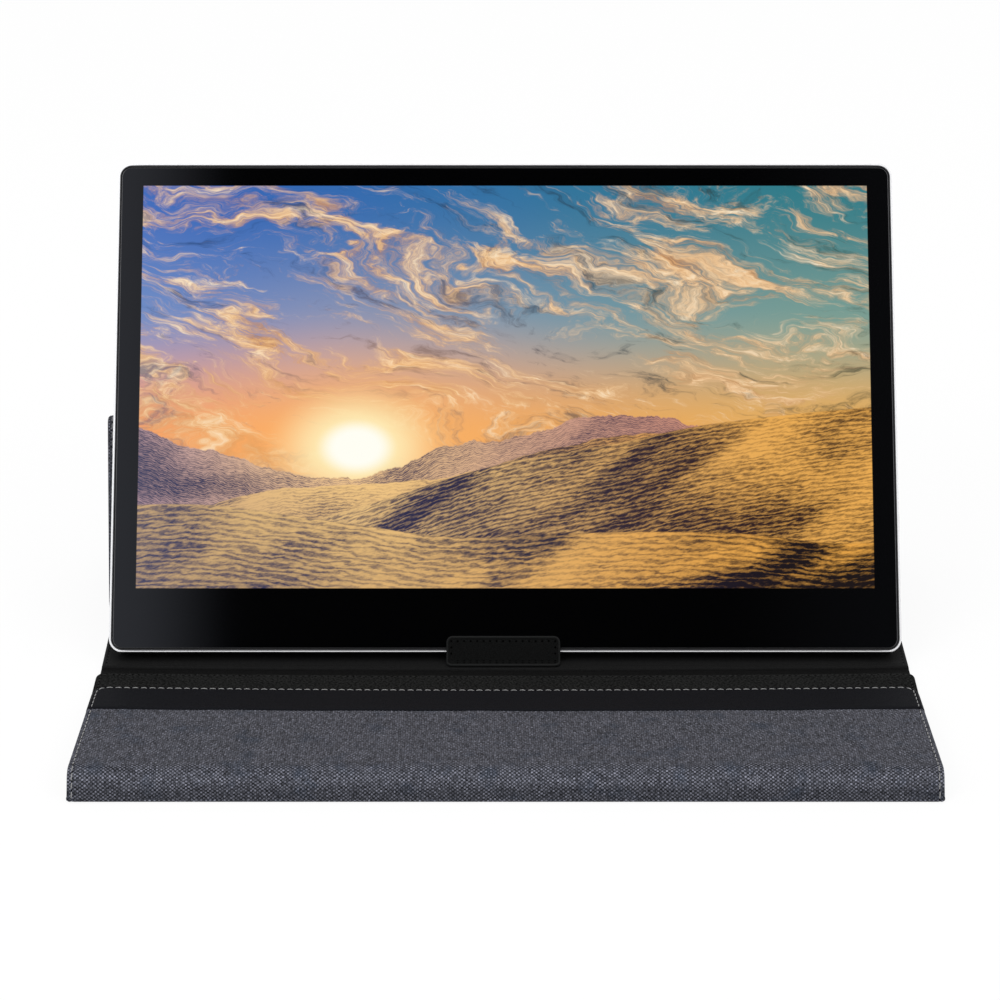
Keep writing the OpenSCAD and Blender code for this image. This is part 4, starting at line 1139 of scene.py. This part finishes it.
rearShift = (0.0, cover["shift"])
rearBaseCanvas = makeSheet(
    "rearBaseCanvas", canvasMaterial, rearPath, (0, rearTotal), (cover["rearWidth"],) * 2,
    corners=(0.8, 0), closed=(True, False), shift=rearShift, sway=0.0, bow=bows["rear"])
dress(rearBaseCanvas, overRear, ("rear_base_canvas", "rear_spine_canvas", "rear_creases"))
rearBaseLining = makeSheet(
    "rearBaseLining", liningMaterial, rearPath, (0, rearTotal - 5.2), (cover["rearWidth"],) * 2,
    corners=(0.8, 0), closed=(True, True), face="inner", seed=7.0, sway=0.08,
    shift=rearShift, bow=bows["rear"])
dress(rearBaseLining, "base", ("rear_base_lining", "rear_spine_lining"))
rearLines = [
    [(side * (rearHalf - seam) + cover["shift"] * s / rearTotal, s) for s in np.linspace(3, 126, 40)]
    for side in (-1, 1)
]
rearBaseStitches = makeStitches(
    "rearBaseStitches", rearPath, rearLines, blackThread,
    depth=cover["leaf"] - sunk, outward=1, seed=6, look=darkLook)
dress(rearBaseStitches, "base")

propCanvas = makeSheet(
    "propCanvas", canvasMaterial, propPath, (0, propTotal), (cover["propWidth"],) * 2,
    corners=(0, free), closed=(False, True), shift=cover["propShift"], seed=8.0)
dress(propCanvas, overProp, ("rear_leg_canvas", "front_leg_canvas", "top_crease"))
propLining = makeSheet(
    "propLining", napMaterial, propPath, (2.2, propTotal), (cover["propWidth"],) * 2,
    corners=(0, free), closed=(True, True), face="inner", shift=cover["propShift"], seed=9.0, sway=0.1)
dress(propLining, overProp, ("rear_leg_lining", "front_leg_lining"))
propStitches = makeStitches(
    "propStitches", propPath, [roundEnd(propHalf, free, 1.5, propTotal, 60)], greyThread,
    depth=sunk, shift=sum(cover["propShift"]) / 2, seed=4)
dress(propStitches, overProp)

# dark strips inside the two sharp folds, seen when they open

strip = {"reach": 8.0, "inset": 4.0, "thick": 0.28}
frontStart = (frontTangent + strip["reach"]) * unit(cover["spineAngle"])
frontFold = makePath(frontStart, 180 + cover["spineAngle"], [
    (strip["reach"], 0), arc(cover["bendRadius"], frontTurn), (strip["reach"], 0),
])
rearFold = makePath((cover["rearBend"] - rearTangent - strip["reach"], 0), 0, [
    (strip["reach"], 0), arc(cover["bendRadius"], cover["rearLegAngle"]), (strip["reach"], 0),
])


def makeFoldStrip(name, path, width, shift, bodies):
    made = makeSheet(
        name, creaseMaterial, path, (0, path["length"]), (width - strip["inset"],) * 2, face="inner",
        thickness=strip["thick"], groove=0.0, sway=0.0, edge=0.2, spacing=1.5, shift=(shift,) * 2)
    return dress(made, (*bodies, *bendPoints(path)))


frontStrip = makeFoldStrip("frontFoldStrip", frontFold, cover["width"], 0.0, ("front_spine", "front_base"))
rearStrip = makeFoldStrip(
    "rearFoldStrip", rearFold, cover["rearWidth"], cover["shift"], ("base", "rear_leg"))

# leather tab

tab = {
    "width": 52.8, "shift": -0.9, "thick": 1.4, "radius": 3.0,
    "front": 120.373, "rise": 3.02, "corner": 124.585, "bend": 2.0, "turn": 56.0, "tongue": 12.563,
    "rim": 2.3, "endRow": 2.5, "footRows": (1.7, 4.4),      # rows of holes
}
tabTangent = tangent(tab["bend"], tab["turn"])
tabPath = makePath((tab["front"], tab["rise"]), 0, [
    (tab["corner"] - tabTangent - tab["front"], 0), arc(tab["bend"], tab["turn"]),
    (tab["tongue"] - tabTangent, 0),
])
tabTotal = tabPath["length"]
tabSheet = dict(
    material=tabMaterial, path=tabPath, span=(0, tabTotal), widths=(tab["width"],) * 2,
    corners=(tab["radius"],) * 2, closed=(True, True), shift=(tab["shift"],) * 2, thickness=tab["thick"],
    sway=0.0, edge=0.65, spacing=1.2, stitch=1.9, step=2.0)
tabBack = makeSheet("tabBack", groove=0.0, **tabSheet)
tabFront = makeSheet("tabFront", face="inner", groove=0.12, **tabSheet)
dress(tabFront, "base", ("holding_tab",))
dress(tabBack, "base")
side, lastRow = tab["width"] / 2 - tab["rim"], tabTotal - tab["endRow"]
tabLines = [[(x, s) for s in np.linspace(tab["endRow"], lastRow, 12)] for x in (-side, side)]
tabLines += [[(-side, s), (side, s)] for s in (lastRow, *tab["footRows"])]
tabStitches = makeStitches(
    "tabStitches", tabPath, tabLines, blackThread,
    depth=tab["thick"], outward=1, shift=tab["shift"], look=tabHoles, seed=5)
dress(tabStitches, "base")
print("cover dressed")
# studio

studio = {
    "floorColour": (0.93, 0.93, 0.93), "floorGlow": 0.9, "floorReach": 30, "floorDrop": 0.0004,
    "world": 0.75,
    "aim": (0, 0, 0.05),
    "lamps": [
        # place, size, power
        ((-1.5, -1.3, 1.9), 1.2, 18),
        ((1.6, -1.1, 1.8), 1.2, 10),
        ((0.0, 0.3, 2.4), 1.4, 9),
    ],
}


def makeCard(name, w, h):
    mesh = bpy.data.meshes.new(name)
    mesh.from_pydata([(-w, -h, 0), (w, -h, 0), (w, h, 0), (-w, h, 0)], [], [(0, 1, 2, 3)])
    return addObject(name, mesh)


def facing(place, target):
    return (Vector(target) - Vector(place)).to_track_quat("-Z", "Y").to_euler()


def makeFloor():
    floor = makeCard("studioFloor", studio["floorReach"], studio["floorReach"])
    floor.location.z = -studio["floorDrop"]
    material, tree, shader = newMaterial("paleFloor", 0.9, specular=0.2)
    shader.inputs["Base Color"].default_value = (*studio["floorColour"], 1)
    glow = put(tree, "ShaderNodeEmission", {"Color": (1, 1, 1, 1), "Strength": 1.0})
    share = times(tree, backgroundRays(tree), studio["floorGlow"])
    both = put(tree, "ShaderNodeMixShader", {0: share, 1: shader.outputs[0], 2: glow.outputs[0]})
    out = next(n for n in tree.nodes if n.type == "OUTPUT_MATERIAL")
    feed(out, "Surface", both.outputs[0])
    floor.data.materials.append(material)


def backgroundRays(tree):
    # rays that show the background: from the camera, off gloss and through glass
    light = put(tree, "ShaderNodeLightPath")
    shiny = calc(tree, "MAXIMUM", light.outputs["Is Glossy Ray"], light.outputs["Is Transmission Ray"])
    return calc(tree, "MAXIMUM", light.outputs["Is Camera Ray"], shiny)


def makeWorld():
    world = bpy.data.worlds.new("studioWorld")
    scene.world = world
    world.use_nodes = True
    tree = world.node_tree
    back = tree.nodes["Background"]
    level = put(tree, "ShaderNodeMix", {0: backgroundRays(tree), 2: studio["world"], 3: 1.0}).outputs[0]
    feed(back, "Strength", level)
    back.inputs["Color"].default_value = (1, 1, 1, 1)


flag = {
    # dark card in front of and above the monitor: what its glass reflects
    "middle": (0.0, -1.15, 1.22), "aim": (0, 0, 0.1), "width": 1.7, "height": 1.3,
    "left": 0.64, "middleLevel": 0.012, "right": 0.05, "tint": (0.92, 0.97, 1.14),
    "leftFade": (-0.38, -0.26), "rightFade": (0.2, 0.38),
}


def makeFlag():
    card = makeCard("darkFlag", flag["width"] / 2, flag["height"] / 2)
    card.location = flag["middle"]
    card.rotation_euler = facing(flag["middle"], flag["aim"])
    card.visible_camera = card.visible_diffuse = card.visible_shadow = False
    material, tree, shader = newMaterial("flagCloth", 1.0, specular=0.0)
    shader.inputs["Base Color"].default_value = (0, 0, 0, 1)
    shader.inputs["Emission Strength"].default_value = 1.0
    x = parted(tree, objectPlace(tree))[0]
    left = spread(tree, x, *flag["leftFade"], flag["left"], flag["middleLevel"])
    level = plus(tree, left, spread(tree, x, *flag["rightFade"], 0.0, flag["right"]))
    parts = {i: times(tree, level, c) for i, c in enumerate(flag["tint"])}
    feed(shader, "Emission Color", put(tree, "ShaderNodeCombineColor", parts).outputs[0])
    card.data.materials.append(material)


def makeLamps():
    for i, (place, size, power) in enumerate(studio["lamps"]):
        lamp = bpy.data.lights.new(f"softLamp{i}", "AREA")
        lamp.shape, lamp.size, lamp.energy = "SQUARE", size, power
        holder = addObject(f"softLamp{i}", lamp)
        holder.location = place
        holder.rotation_euler = facing(place, studio["aim"])


makeFloor()
makeWorld()
makeFlag()
makeLamps()
scene.view_settings.view_transform = "Standard"
print("studio ready")
